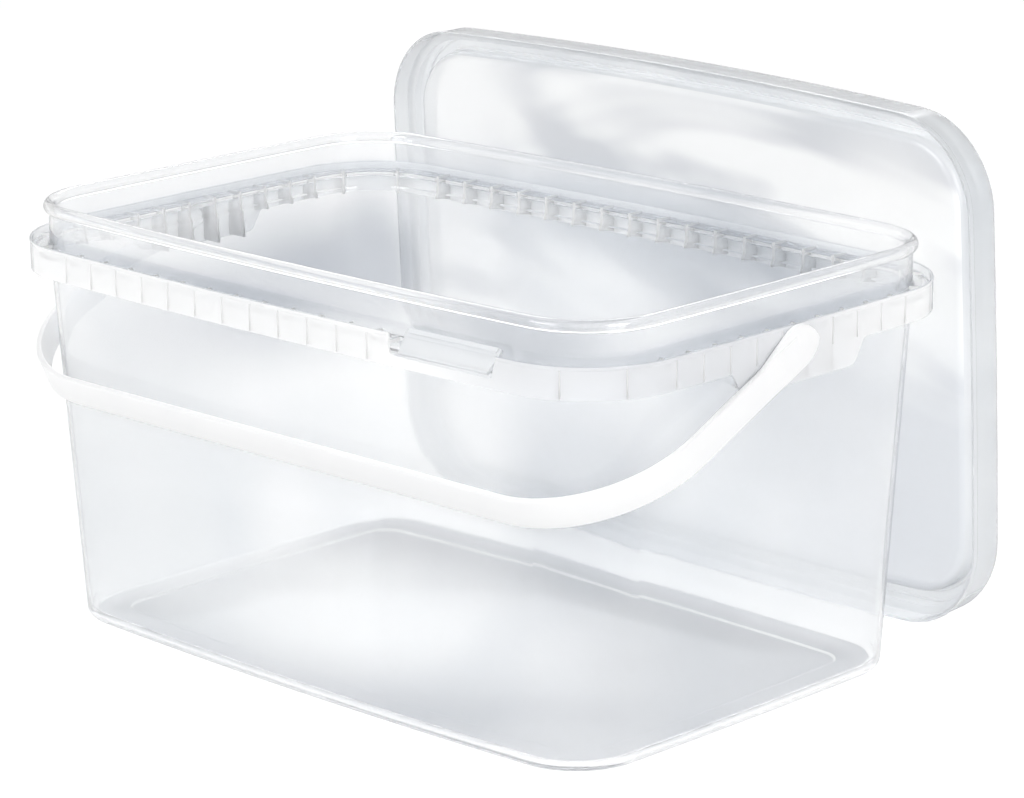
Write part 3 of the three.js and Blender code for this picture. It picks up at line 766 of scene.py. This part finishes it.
print("other clear finishes:", [m.name for m in (RIBS, FAINT, SHADED_LINE, CLEAR_LID, SATIN)])

# %% White plastic of the handle
def white_plastic():
    """Opaque and satin, with a fine grain in its gloss."""
    material, tree = new_material("white_plastic_strap")
    colour, roughness, normal, _ = moulded_skin(
        tree, 0.2, pale=(0.97, 0.971, 0.973), deep=(0.95, 0.953, 0.958),
        flow_scale=30.0, grain=0.04, base_roughness=0.3, roughness_spread=0.12)
    shader = add_node(tree, "ShaderNodeBsdfPrincipled", {
        "Base Color": colour, "Roughness": roughness, "Normal": normal})
    add_node(tree, "ShaderNodeOutputMaterial", {"Surface": shader.outputs["BSDF"]})
    return material


WHITE = white_plastic()
print("white finish:", WHITE.name)

# %% [markdown]
# ## Rows of ribs and sink lines
# The ribs stand at one pitch along the long sides and another along the short ones, with two in
# each corner. The four at each apron reach down into it, and the front row ends before the tab's
# notch. Every rib has its sink line on the skirt's face.

# %% Make every rib and join them
PITCH_LONG, PITCH_SHORT, END_FIRST, END_LAST = 12.7, 11.4, 28.5, 51.3
CORNER_SHARES = (0.7, 0.3)
front = long_row(-1, 3.5 * PITCH_LONG, -7.5 * PITCH_LONG), 12
back = long_row(1, -7.5 * PITCH_LONG, 7.5 * PITCH_LONG), 16
corners = [(corner_row(x, y, *(CORNER_SHARES if x * y > 0 else reversed(CORNER_SHARES))), 2)
           for x, y in ((1, 1), (-1, 1), (-1, -1), (1, -1))]
middles = [(short_row(side, side * 1.5 * PITCH_SHORT, -side * 1.5 * PITCH_SHORT), 4)
           for side in (-1, 1)]
ends = [(short_row(side, *sorted((sign * END_FIRST, sign * END_LAST), reverse=side > 0)), 3)
        for side in (-1, 1) for sign in (-1, 1)]

gutter_ribs = join("gutter_ribs", (
    [rib_row("back_ribs", *back, plain_rib, FAINT)]
    + [rib_row("plain_ribs", *row, plain_rib, RIBS) for row in [front] + corners + ends]
    + [rib_row("deep_ribs", *row, deep_rib, RIBS) for row in middles]))
# Sink lines take painted light and shade by row: grey as painted shade on the long sides and corners,
# white as painted light on the short sides
sink_lines = join("sink_lines", (
    [rib_row("sink_lines", *row, sink_line, SHADED_LINE, LINE_WIDTH) for row in [front, back] + corners]
    + [rib_row("sink_lines", *row, sink_line, RIBS, LINE_WIDTH) for row in ends + middles]))
for section in (plain_rib, deep_rib, sink_line):
    bpy.data.objects.remove(section)
print("rib faces:", len(gutter_ribs.data.polygons), "line faces:", len(sink_lines.data.polygons))

# %% [markdown]
# ## Pads over the pins
# Under the gutter, over each pin's head, a solid pad joins the two ribs beside it, so that a full
# bucket hanging on its handle can't tear the skirt. Two small bevelled blocks stand for them.

# %% Pads
PAD_HALF, PAD_OVER_PIN, PAD_UNDER_LEDGE, PAD_EDGE = 5.7, 4.2, 0.5, 0.3
PAD_SHARP_ANGLE = math.radians(50)


def block(name, low, high):
    """A box between two corners in millimetres, with rounded edges."""
    mesh = bmesh.new()
    bmesh.ops.create_cube(mesh, size=1.0)
    for vertex in mesh.verts:
        for axis in range(3):
            vertex.co[axis] = MM * (low[axis] if vertex.co[axis] < 0 else high[axis])
    bmesh.ops.bevel(mesh, geom=mesh.edges[:], offset=PAD_EDGE * MM, segments=2, affect="EDGES")
    data = bpy.data.meshes.new(name)
    mesh.to_mesh(data)
    mesh.free()
    data.shade_smooth()
    data.set_sharp_from_angle(angle=PAD_SHARP_ANGLE)
    return add_object(name, data)


pads = []
for side in (-1, 1):
    near, far = LENGTH / 2 - COLLAR_INSET - WALL / 2, LENGTH / 2 - SKIRT_WALL / 2
    low_x, high_x = sorted((side * near, side * far))
    pads.append(block("pad", (low_x, -PAD_HALF, PIN_HEIGHT + PAD_OVER_PIN),
                      (high_x, PAD_HALF, LEDGE_TOP - PAD_UNDER_LEDGE)))
pin_pads = join("pin_pads", pads)
pin_pads.data.materials.append(FROSTED)
print("pads:", len(pin_pads.data.polygons), "faces")

# %% [markdown]
# ## One moulding, four finishes
# The mould's cavity was left finely textured round the skirt and the aprons, so this band is
# whiter and duller than the glossy walls, on both of its faces. The inside is clearer than the
# outside. The floor is the thickest wall and milkier than the walls. Its colour is painted: grey
# towards its edges as painted shade, and white round a spot off its middle as a painted pool of
# light. It is all one skin, so each face takes its finish by where it is and where it looks.

# %% Finishes of the tub
TUB_FINISHES = (CLEAR, INSIDE, FLOOR, FROSTED)
UPRIGHT, RISING, LEVEL = 0.6, 0.3, 0.95
SKIRT_SLACK, FLOOR_SLACK, FLOOR_ROUND_REACH, INSIDE_DEPTH = 0.2, 0.5, 12.0, 2.5


def finish_at(spot, way):
    """The finish of a face, from its middle in millimetres and its normal."""
    past = math.hypot(max(abs(spot.x) - EDGE_FLAT_X + SKIRT_CORNER, 0),
                      max(abs(spot.y) - EDGE_FLAT_Y + SKIRT_CORNER, 0))
    on_skirt = past > SKIRT_CORNER - SKIRT_WALL - SKIRT_SLACK and spot.z < SKIRT_TOP - SKIRT_SLACK
    if on_skirt and abs(way.z) < UPRIGHT:
        return FROSTED
    if way.z > RISING and spot.z < FLOOR_THICKNESS + FLOOR_SLACK:
        return FROSTED if way.z < LEVEL and past < FLOOR_ROUND_REACH else FLOOR
    outwards = way.dot(Vector((spot.x, spot.y, 0))) > 0
    return CLEAR if outwards or past > SKIRT_CORNER - INSIDE_DEPTH else INSIDE


tub.data.materials.clear()
for finish in TUB_FINISHES:
    tub.data.materials.append(finish)
for face in tub.data.polygons:
    face.material_index = TUB_FINISHES.index(finish_at(face.center / MM, face.normal))
print("faces of each finish:", np.bincount([face.material_index for face in tub.data.polygons]))

# %% [markdown]
# ## The handle
# One flat strap follows a path: up from each ear, round the two wide corners and along the front.
# A section that is a flat rounded bar is swept along it. Its two edges follow the place on the
# path: the lower one runs straight on into an oval toe, and the upper one swells to a circle round
# the pin. The strap's own upper edge stays visible on the ear as a fine step.

# %% Path and width of the strap
HANDLE_REACH, STRAP_WIDTH, STRAP_THICKNESS, STRAP_SPLAY, STRAP_CORNER = 92.5, 10.0, 2.0, 1.6, 42.0
EAR_RADIUS, EAR_BLEND, EAR_TOE, SIDE_CLEARANCE = 8.6, 16.0, 2.0, 0.4
EAR_TURN, EAR_GAP, TOE_FLOOR, EAR_FLOOR = 0.3 * math.pi, 1.5, 0.0004, 0.02
REST_ANGLE = math.radians(24.0996145)
EAR_X = LENGTH / 2 + SIDE_CLEARANCE + STRAP_THICKNESS


def strap_path():
    """Outer line of one half of the strap: (x, reach) from the ear's tip to the middle."""
    knee, corner = Vector((EAR_X, EAR_BLEND)), Vector((EAR_X + STRAP_SPLAY, HANDLE_REACH))
    arm = (corner - knee).normalized()
    bend = math.pi / 2 + math.atan2(arm.x, arm.y)
    tangent = STRAP_CORNER * math.tan(bend / 2)
    centre = Vector((corner.x - tangent, corner.y - STRAP_CORNER))
    tip = [EAR_RADIUS * math.cos(a) for a in np.linspace(math.pi, EAR_TURN, 24)]
    points = [Vector((EAR_X, reach)) for reach in tip]
    points += [Vector((EAR_X, reach)) for reach in np.linspace(tip[-1] + EAR_GAP, EAR_BLEND, 9)]
    points += [centre + STRAP_CORNER * Vector((math.cos(a), math.sin(a)))
               for a in np.linspace(math.pi / 2 - bend, math.pi / 2, 40)]
    points += [Vector((x, HANDLE_REACH)) for x in np.linspace(points[-1].x, 0, 26)[1:]]
    return points


def strap_edges(reach_along):
    """Lower and upper edge of the strap at a distance from the pin, measured along the path."""
    half = STRAP_WIDTH / 2
    toe = min((reach_along - EAR_TOE) / (EAR_RADIUS + EAR_TOE), 0)
    low = -half * math.sqrt(max(1 - toe ** 2, TOE_FLOOR))
    lean = math.asin((EAR_RADIUS - half) / EAR_BLEND)
    touch, start = EAR_RADIUS * math.sin(lean), EAR_RADIUS * math.cos(lean)
    if reach_along < touch:
        return low, math.sqrt(max(EAR_RADIUS ** 2 - reach_along ** 2, EAR_FLOOR))
    share = min((reach_along - touch) / (EAR_BLEND - touch), 1)
    return low, start + (half - start) * share


half_path = strap_path()
print("points on half the strap:", len(half_path))

# %% Sweep the strap
LINE_ABOVE, LINE_DEPTH, LINE_GAP, LINE_FADE, LINE_START, LINE_GROWTH = 5.9, 0.3, 0.3, 0.8, 0.6, 3.0
BAR_EDGE, BAR_EDGE_SHARE, CHAMFER = 0.55, 0.3, 0.29


def bar_section(low, high, lowered):
    """Section across the strap: (inwards from the outer face, across its width)."""
    edge = min(BAR_EDGE, (high - low) * BAR_EDGE_SHARE)
    bit = edge * CHAMFER
    step = min(LINE_ABOVE, high - edge * 1.4)
    far = STRAP_THICKNESS
    return [(bit, low + bit), (0, low + edge), (0, step - edge * 0.4),
            (lowered, step), (lowered, high - edge), (lowered + bit, high - bit),
            (lowered + edge, high), (far - edge, high), (far - bit, high - bit),
            (far, high - edge), (far, low + edge), (far - bit, low + bit),
            (far - edge, low), (edge, low)]


def sweep_strap():
    """The whole strap, level and with its pins' axis on X."""
    line = half_path + [Vector((-p.x, p.y)) for p in reversed(half_path[:-1])]
    spans = [0.0] + [(b - a).length for a, b in zip(half_path, half_path[1:])]
    bars = []
    for along in np.cumsum(spans) - EAR_RADIUS:
        low, high = strap_edges(along)
        over = min(max((high - LINE_ABOVE - LINE_GAP) / LINE_FADE, 0), 1)
        grown = min(max(along / LINE_GROWTH + LINE_START, 0), 1)
        bars.append(bar_section(low, high, LINE_DEPTH * (over * grown)))
    bars += list(reversed(bars[:-1]))
    points = []
    for index, place in enumerate(line):
        before, after = line[max(index - 1, 0)], line[min(index + 1, len(line) - 1)]
        direction = (after - before).normalized()
        inwards = Vector((-direction.y, direction.x))
        for depth, across in bars[index]:
            spot = place + inwards * depth
            points.append((spot.x, -spot.y, across))
    return closed_rings("strap", points, len(bars[0]))


strap = sweep_strap()
print("strap:", len(strap.data.polygons), "faces")

# %% Pins, and the handle at rest
PIN_RADIUS, PIN_STEPS, HEAD_GAP, PIN_INTO_EAR = 2.7, 40, 0.35, 1.0
HEAD_SECTION = ((-1.4, 2.8), (-1.25, 3.35), (-0.9, 3.6), (-0.2, 3.6), (0, 3.4))
HANDLE_SHARP_ANGLE = math.radians(40)


def pin(side):
    """A pin with a rounded head behind the apron, which runs into the ear."""
    head = LENGTH / 2 - SKIRT_WALL - HEAD_GAP
    section = [(head + along, radius) for along, radius in HEAD_SECTION]
    section += [(head, PIN_RADIUS), (LENGTH / 2 + SIDE_CLEARANCE + PIN_INTO_EAR, PIN_RADIUS)]
    return lathe("pin", [(side * along, radius) for along, radius in section], (0, 0), PIN_STEPS)


handle = join("handle_strap", [strap, pin(1), pin(-1)])
handle.data.transform(Matrix.Translation((0, 0, PIN_HEIGHT * MM))
                      @ Matrix.Rotation(REST_ANGLE, 4, "X"))
handle.data.materials.append(WHITE)
handle.data.set_sharp_from_angle(angle=HANDLE_SHARP_ANGLE)
print("handle:", [round(v / MM, 1) for v in handle.dimensions], "mm")

# %% [markdown]
# ## The tear-off tab
# A small plate leans in the notch of the skirt. Its free edge has a thicker lip with a second fine
# ridge below it, and its lower edge ends in the thin film along which it tears. Rounded prisms and
# a bevel are enough, because the plate is flat. Its finish is satin, duller than the walls.

# %% Tab
TAB_LEAN = math.radians(32.5)
TAB_THICKNESS, TAB_LIP, TAB_LIP_OUT, TAB_MARGIN, TAB_BEVEL = 1.0, 1.5, 0.6, 1.2, 0.12
HINGE_HEIGHT = STRIP_TOP + 0.35 + TAB_THICKNESS / 2
TAB_LEFT, TAB_RIGHT = -TAB_LENGTH / 2, TAB_LENGTH / 2
TAB_PLACE = (TAB_FRAME @ Matrix.Translation((0, SKIRT_WALL / 2, HINGE_HEIGHT))
             @ Matrix.Rotation(-TAB_LEAN, 4, "X"))


def tab_bar(name, low, high, out):
    """A bar across the tab's outer face, between two heights."""
    right = TAB_RIGHT - TAB_MARGIN
    return slab(name, rounded([
        (TAB_LEFT + TAB_MARGIN, low, 0.25), (right - TAB_SLANT * (1 - low / TAB_HEIGHT), low, 0.25),
        (right, high, 0.25), (TAB_LEFT + TAB_MARGIN, high, 0.25),
    ], 3), TAB_PLACE, -TAB_THICKNESS / 2 - out, 0)


tab_pieces = [
    slab("plate", rounded([
        (TAB_LEFT, 0, 0.3), (TAB_RIGHT - TAB_SLANT, 0, 0.3),
        (TAB_RIGHT, TAB_HEIGHT, 1.2), (TAB_LEFT, TAB_HEIGHT, 1.2),
    ]), TAB_PLACE, -TAB_THICKNESS / 2, TAB_THICKNESS / 2),
    tab_bar("lip", TAB_HEIGHT - TAB_LIP, TAB_HEIGHT, TAB_LIP_OUT),
    tab_bar("ridge", TAB_HEIGHT - 2.7, TAB_HEIGHT - 2.2, 0.3),
    tab_bar("film_ridge", 0.1, 0.7, 0.25),
]
for piece in tab_pieces:
    bevel = piece.modifiers.new("edges", "BEVEL")
    bevel.width, bevel.segments, bevel.limit_method = TAB_BEVEL * MM, 2, "ANGLE"
    plain_copy(piece, piece.name)
tab = join("tear_tab", tab_pieces)
tab.data.materials.append(SATIN)
print("tab:", [round(v / MM, 1) for v in tab.dimensions], "mm")

# %% [markdown]
# ## The lid
# The lid is one skin as well: a panel that sinks into the bucket, a plug that fits inside the
# collar, a channel over the bead, and an outer wall with the ridge that catches under the bead. It
# is built closed and level, as it comes out of its mould, and then stood up on its long edge. The
# panel is glossy, and everything round it has the satin finish.

# %% Section of the lid
LID_WALL, LID_INSET, LID_DRAFT, LID_TOP_ROUND = 1.0, SKIRT_WALL + 0.25, 0.6, 1.6
LID_LIP, LID_ROOF = SKIRT_TOP - 0.1, HEIGHT + 0.2
LID_TOP = LID_ROOF + LID_WALL
PLUG_INSET = BEAD_INSET + BEAD_RADIUS + 0.5
PANEL_DEPTH, PANEL_ROUND, PANEL_RINGS = 7.0, 3.0, ((8.2, 0), (6.6, 0.5), (6.0, 0.5))
SEAL_REACH, SEAL_HEIGHT, SEAL_FOOT, SEAL_CREST = 1.7, 0.45, 0.5, 0.2
RIDGE_UNDER_BEAD, RIDGE_OVERLAP, RIDGE_SLOPE = 1.2, 0.3, 1.3
BAND_HEIGHT, BAND_OUT, BAND_SLOPE = 1.6, 0.3, 0.4


def lid_at(inset, z):
    return rim_at(inset, z - LID_LIP)


def lid_section():
    """(Station, edge radius) pairs of the lid, from the panel's underside round to its top."""
    under = LID_TOP - PANEL_DEPTH - LID_WALL
    centre = under + PANEL_ROUND
    inner = LID_INSET + LID_WALL
    ridge = HEIGHT - 2 * BEAD_RADIUS - RIDGE_UNDER_BEAD
    seals = []
    for seal in (BEAD_INSET + SEAL_REACH, BEAD_INSET - SEAL_REACH):
        for past, drop in ((SEAL_FOOT, 0), (SEAL_CREST, SEAL_HEIGHT),
                           (-SEAL_CREST, SEAL_HEIGHT), (-SEAL_FOOT, 0)):
            seals.append((lid_at(seal + past, LID_ROOF - drop), 0.2))
    return [
        *[(lid_at(PLUG_INSET + inset, under), radius) for inset, radius in PANEL_RINGS],
        *arc_stations(lid_at, PLUG_INSET + PANEL_ROUND, centre, PANEL_ROUND, -math.pi / 2, 0, 6),
        (lid_at(PLUG_INSET, LID_ROOF), 0.7),
        *seals,
        (lid_at(inner + LID_DRAFT, LID_ROOF), 0.7),
        (lid_at(inner, ridge + RIDGE_SLOPE), 0.5),
        (lid_at(BEAD_INSET - BEAD_RADIUS + RIDGE_OVERLAP, ridge), 0.5),
        (lid_at(inner, ridge - RIDGE_SLOPE), 0.5),
        (lid_at(inner, LID_LIP), 0.3),
        (lid_at(LID_INSET, LID_LIP), 0.3),
        (lid_at(LID_INSET, LID_LIP + BAND_HEIGHT), 0.2),
        (lid_at(LID_INSET + BAND_OUT, LID_LIP + BAND_HEIGHT + BAND_SLOPE), 0.2),
        *arc_stations(lid_at, LID_INSET + LID_DRAFT + LID_TOP_ROUND, LID_TOP - LID_TOP_ROUND,
                      LID_TOP_ROUND, 0, math.pi / 2, 6),
        (lid_at(PLUG_INSET + LID_WALL, LID_TOP), 0.8),
        *arc_stations(lid_at, PLUG_INSET + PANEL_ROUND, centre, PANEL_ROUND - LID_WALL,
                      0, -math.pi / 2, 5),
        (lid_at(PLUG_INSET + PANEL_RINGS[0][0], under + LID_WALL), 0),
    ]


lid_stations = soften(lid_section())
print("stations of the lid:", len(lid_stations))

# %% The lid, standing behind the bucket
LID_SHIFT, LID_STAND_OFF, LID_LEAN, LID_YAW = -7.0, 7.5, math.radians(2.8), math.radians(-2)
LID_MIDDLE = Vector((LID_SHIFT, HANDLE_REACH + LID_STAND_OFF,
                     (WIDTH / 2 - LID_INSET) * math.cos(LID_LEAN)))
SATIN_FROM = LENGTH / 2 - PLUG_INSET - LID_WALL - 0.5

lid = loft("lid_shell", lid_stations)
lid.data.transform(
    Matrix.Translation(LID_MIDDLE * MM)
    @ Matrix.Rotation(LID_YAW, 4, "Z") @ Matrix.Rotation(-math.pi / 2 + LID_LEAN, 4, "X"))
lid.data.set_sharp_from_angle(angle=SHARP_ANGLE)
for finish in (CLEAR_LID, SATIN):
    lid.data.materials.append(finish)
faces_per_ring = len(lid.data.vertices) // len(lid_stations)
for face in lid.data.polygons:
    pair = lid_stations[face.index // faces_per_ring:][:2]
    face.material_index = int(len(pair) == 2 and min(ring[0] for ring in pair) > SATIN_FROM)
print("lid:", len(lid.data.polygons), "faces")

# %% [markdown]
# ## Riding on the bodies
# Every fine piece moves with the body of the moulding that it belongs to, and stands for that body's
# imported node.

# %% Ride and replace
for piece, body, node_name, slot in (
    (tub, "bucket", "bucket_body", "clear_plastic"),
    (gutter_ribs, "bucket", "bucket_body", "clear_plastic"),
    (sink_lines, "bucket", "bucket_body", "clear_plastic"),
    (pin_pads, "bucket", "bucket_body", "clear_plastic"),
    (handle, "bail", "handle", "white_plastic"),
    (tab, "tab", "tamper_tab", "clear_plastic"),
    (lid, "cover", "lid", "clear_plastic"),
):
    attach(piece, body)
    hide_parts(node_name)
    print(piece.name, "rides on", body, "with", len(piece.data.polygons), "faces")

# %% [markdown]
# ## Studio
# The photograph is a bright product shot on pure white. The world is white to the eye, and
# reflections find it dimmer towards the top, which draws the walls. As a lamp it gives half its
# light, so that the plastic isn't washed out. The floor is white to the eye and in reflections,
# but keeps the soft shadow. Three panels of light give the long highlights on the rims.

# %% World
WORLD_AS_LAMP, CEILING = 0.5, 0.35
CEILING_FROM, CEILING_TO = 0.1, 0.55
world = bpy.data.worlds.new("studio")
bpy.context.scene.world = world
world.use_nodes = True
tree = world.node_tree
tree.nodes.clear()
rays = add_node(tree, "ShaderNodeLightPath").outputs
way = add_node(tree, "ShaderNodeTexCoord").outputs["Generated"]
height = add_node(tree, "ShaderNodeSeparateXYZ", {0: way}).outputs["Z"]
ceiling = add_node(tree, "ShaderNodeMapRange", {
    "Value": height, "From Min": CEILING_FROM, "From Max": CEILING_TO,
    "To Min": 1.0, "To Max": CEILING})
seen = maths(tree, "MAXIMUM", rays["Is Camera Ray"], ceiling.outputs["Result"])
level = add_node(tree, "ShaderNodeMix", {
    "Factor": rays["Is Diffuse Ray"], "A": seen, "B": WORLD_AS_LAMP}, data_type="FLOAT")
sky = add_node(tree, "ShaderNodeBackground", {
    "Color": rgba((1, 1, 1)), "Strength": level.outputs["Result"]})
add_node(tree, "ShaderNodeOutputWorld", {"Surface": sky.outputs["Background"]})
print("world as a lamp:", WORLD_AS_LAMP)

# %% Floor
FLOOR_SIZE, FLOOR_PAINT, FLOOR_GLOW, FLOOR_SHADE = 8, (0.9, 0.9, 0.9), 0.7, (0.38, 0.38, 0.38)
bpy.ops.mesh.primitive_plane_add(size=FLOOR_SIZE)
floor = bpy.context.object
floor.name = "studio_floor"
material, tree = new_material("studio_floor_white")
rays = add_node(tree, "ShaderNodeLightPath").outputs
paint = add_node(tree, "ShaderNodeBsdfDiffuse", {"Color": rgba(FLOOR_PAINT)})
shade = add_node(tree, "ShaderNodeBsdfDiffuse", {"Color": rgba(FLOOR_SHADE)})
glow = add_node(tree, "ShaderNodeEmission", {"Strength": FLOOR_GLOW})
white = add_node(tree, "ShaderNodeAddShader", {0: shade.outputs["BSDF"], 1: glow.outputs["Emission"]})
direct = maths(tree, "MAXIMUM", rays["Is Camera Ray"], rays["Is Transmission Ray"])
choose = add_node(tree, "ShaderNodeMixShader", {
    "Fac": maths(tree, "MAXIMUM", direct, rays["Is Glossy Ray"]),
    1: paint.outputs["BSDF"], 2: white.outputs["Shader"]})
add_node(tree, "ShaderNodeOutputMaterial", {"Surface": choose.outputs["Shader"]})
floor.data.materials.append(material)
print("floor:", floor.name)

# %% Lamps
for name, place, target, size, power in (
    ("panel_front", (-0.3, -1.3, 0.8), (0, 0, 0.08), (0.9, 0.6), 8.4),
    ("panel_right", (1.35, -0.25, 0.75), (0, 0, 0.08), (0.6, 0.9), 8.4),
    ("panel_behind", (-0.9, 0.9, 0.95), (0, 0, 0.12), (1.0, 0.4), 4.2),
):
    lamp = bpy.data.lights.new(name, "AREA")
    lamp.shape, lamp.size, lamp.size_y, lamp.energy = "RECTANGLE", *size, power
    holder = add_object(name, lamp)
    holder.location = place
    holder.rotation_euler = (Vector(target) - Vector(place)).to_track_quat("-Z", "Y").to_euler()

# %% [markdown]
# ## Camera
# The camera was found by fitting the object's outlines to the photograph: it stands 1.28 m away,
# 45 degrees round to the right and 15 degrees up, with a long lens and a slight roll.

# %% Camera
AZIMUTH, ELEVATION, ROLL = math.radians(44.63), math.radians(15.33), math.radians(-0.63)
TARGET, DISTANCE = Vector((0.00423, 0.01385, 0.07735)), 1.27904
LENS, SENSOR_WIDTH = 140.31, 36.0
MOST_BOUNCES, MOST_CLEAR_BOUNCES = 32, 64
back = Vector((math.sin(AZIMUTH) * math.cos(ELEVATION), -math.cos(AZIMUTH) * math.cos(ELEVATION),
               math.sin(ELEVATION)))
level_right = (-back).cross(Vector((0, 0, 1))).normalized()
level_up = level_right.cross(-back)
camera_right = level_right * math.cos(ROLL) + level_up * math.sin(ROLL)
camera_up = level_up * math.cos(ROLL) - level_right * math.sin(ROLL)
camera = add_object("camera", bpy.data.cameras.new("camera"))
camera.data.lens, camera.data.sensor_width = LENS, SENSOR_WIDTH
camera.matrix_world = Matrix.Translation(TARGET + back * DISTANCE) @ Matrix(
    (camera_right, camera_up, back)).transposed().to_4x4()
bpy.context.scene.camera = camera
bpy.context.scene.view_settings.view_transform = "Standard"
cycles = bpy.context.scene.cycles
cycles.max_bounces, cycles.transmission_bounces = MOST_BOUNCES, MOST_BOUNCES
cycles.transparent_max_bounces = MOST_CLEAR_BOUNCES
print("camera at", [round(v, 3) for v in camera.matrix_world.translation])
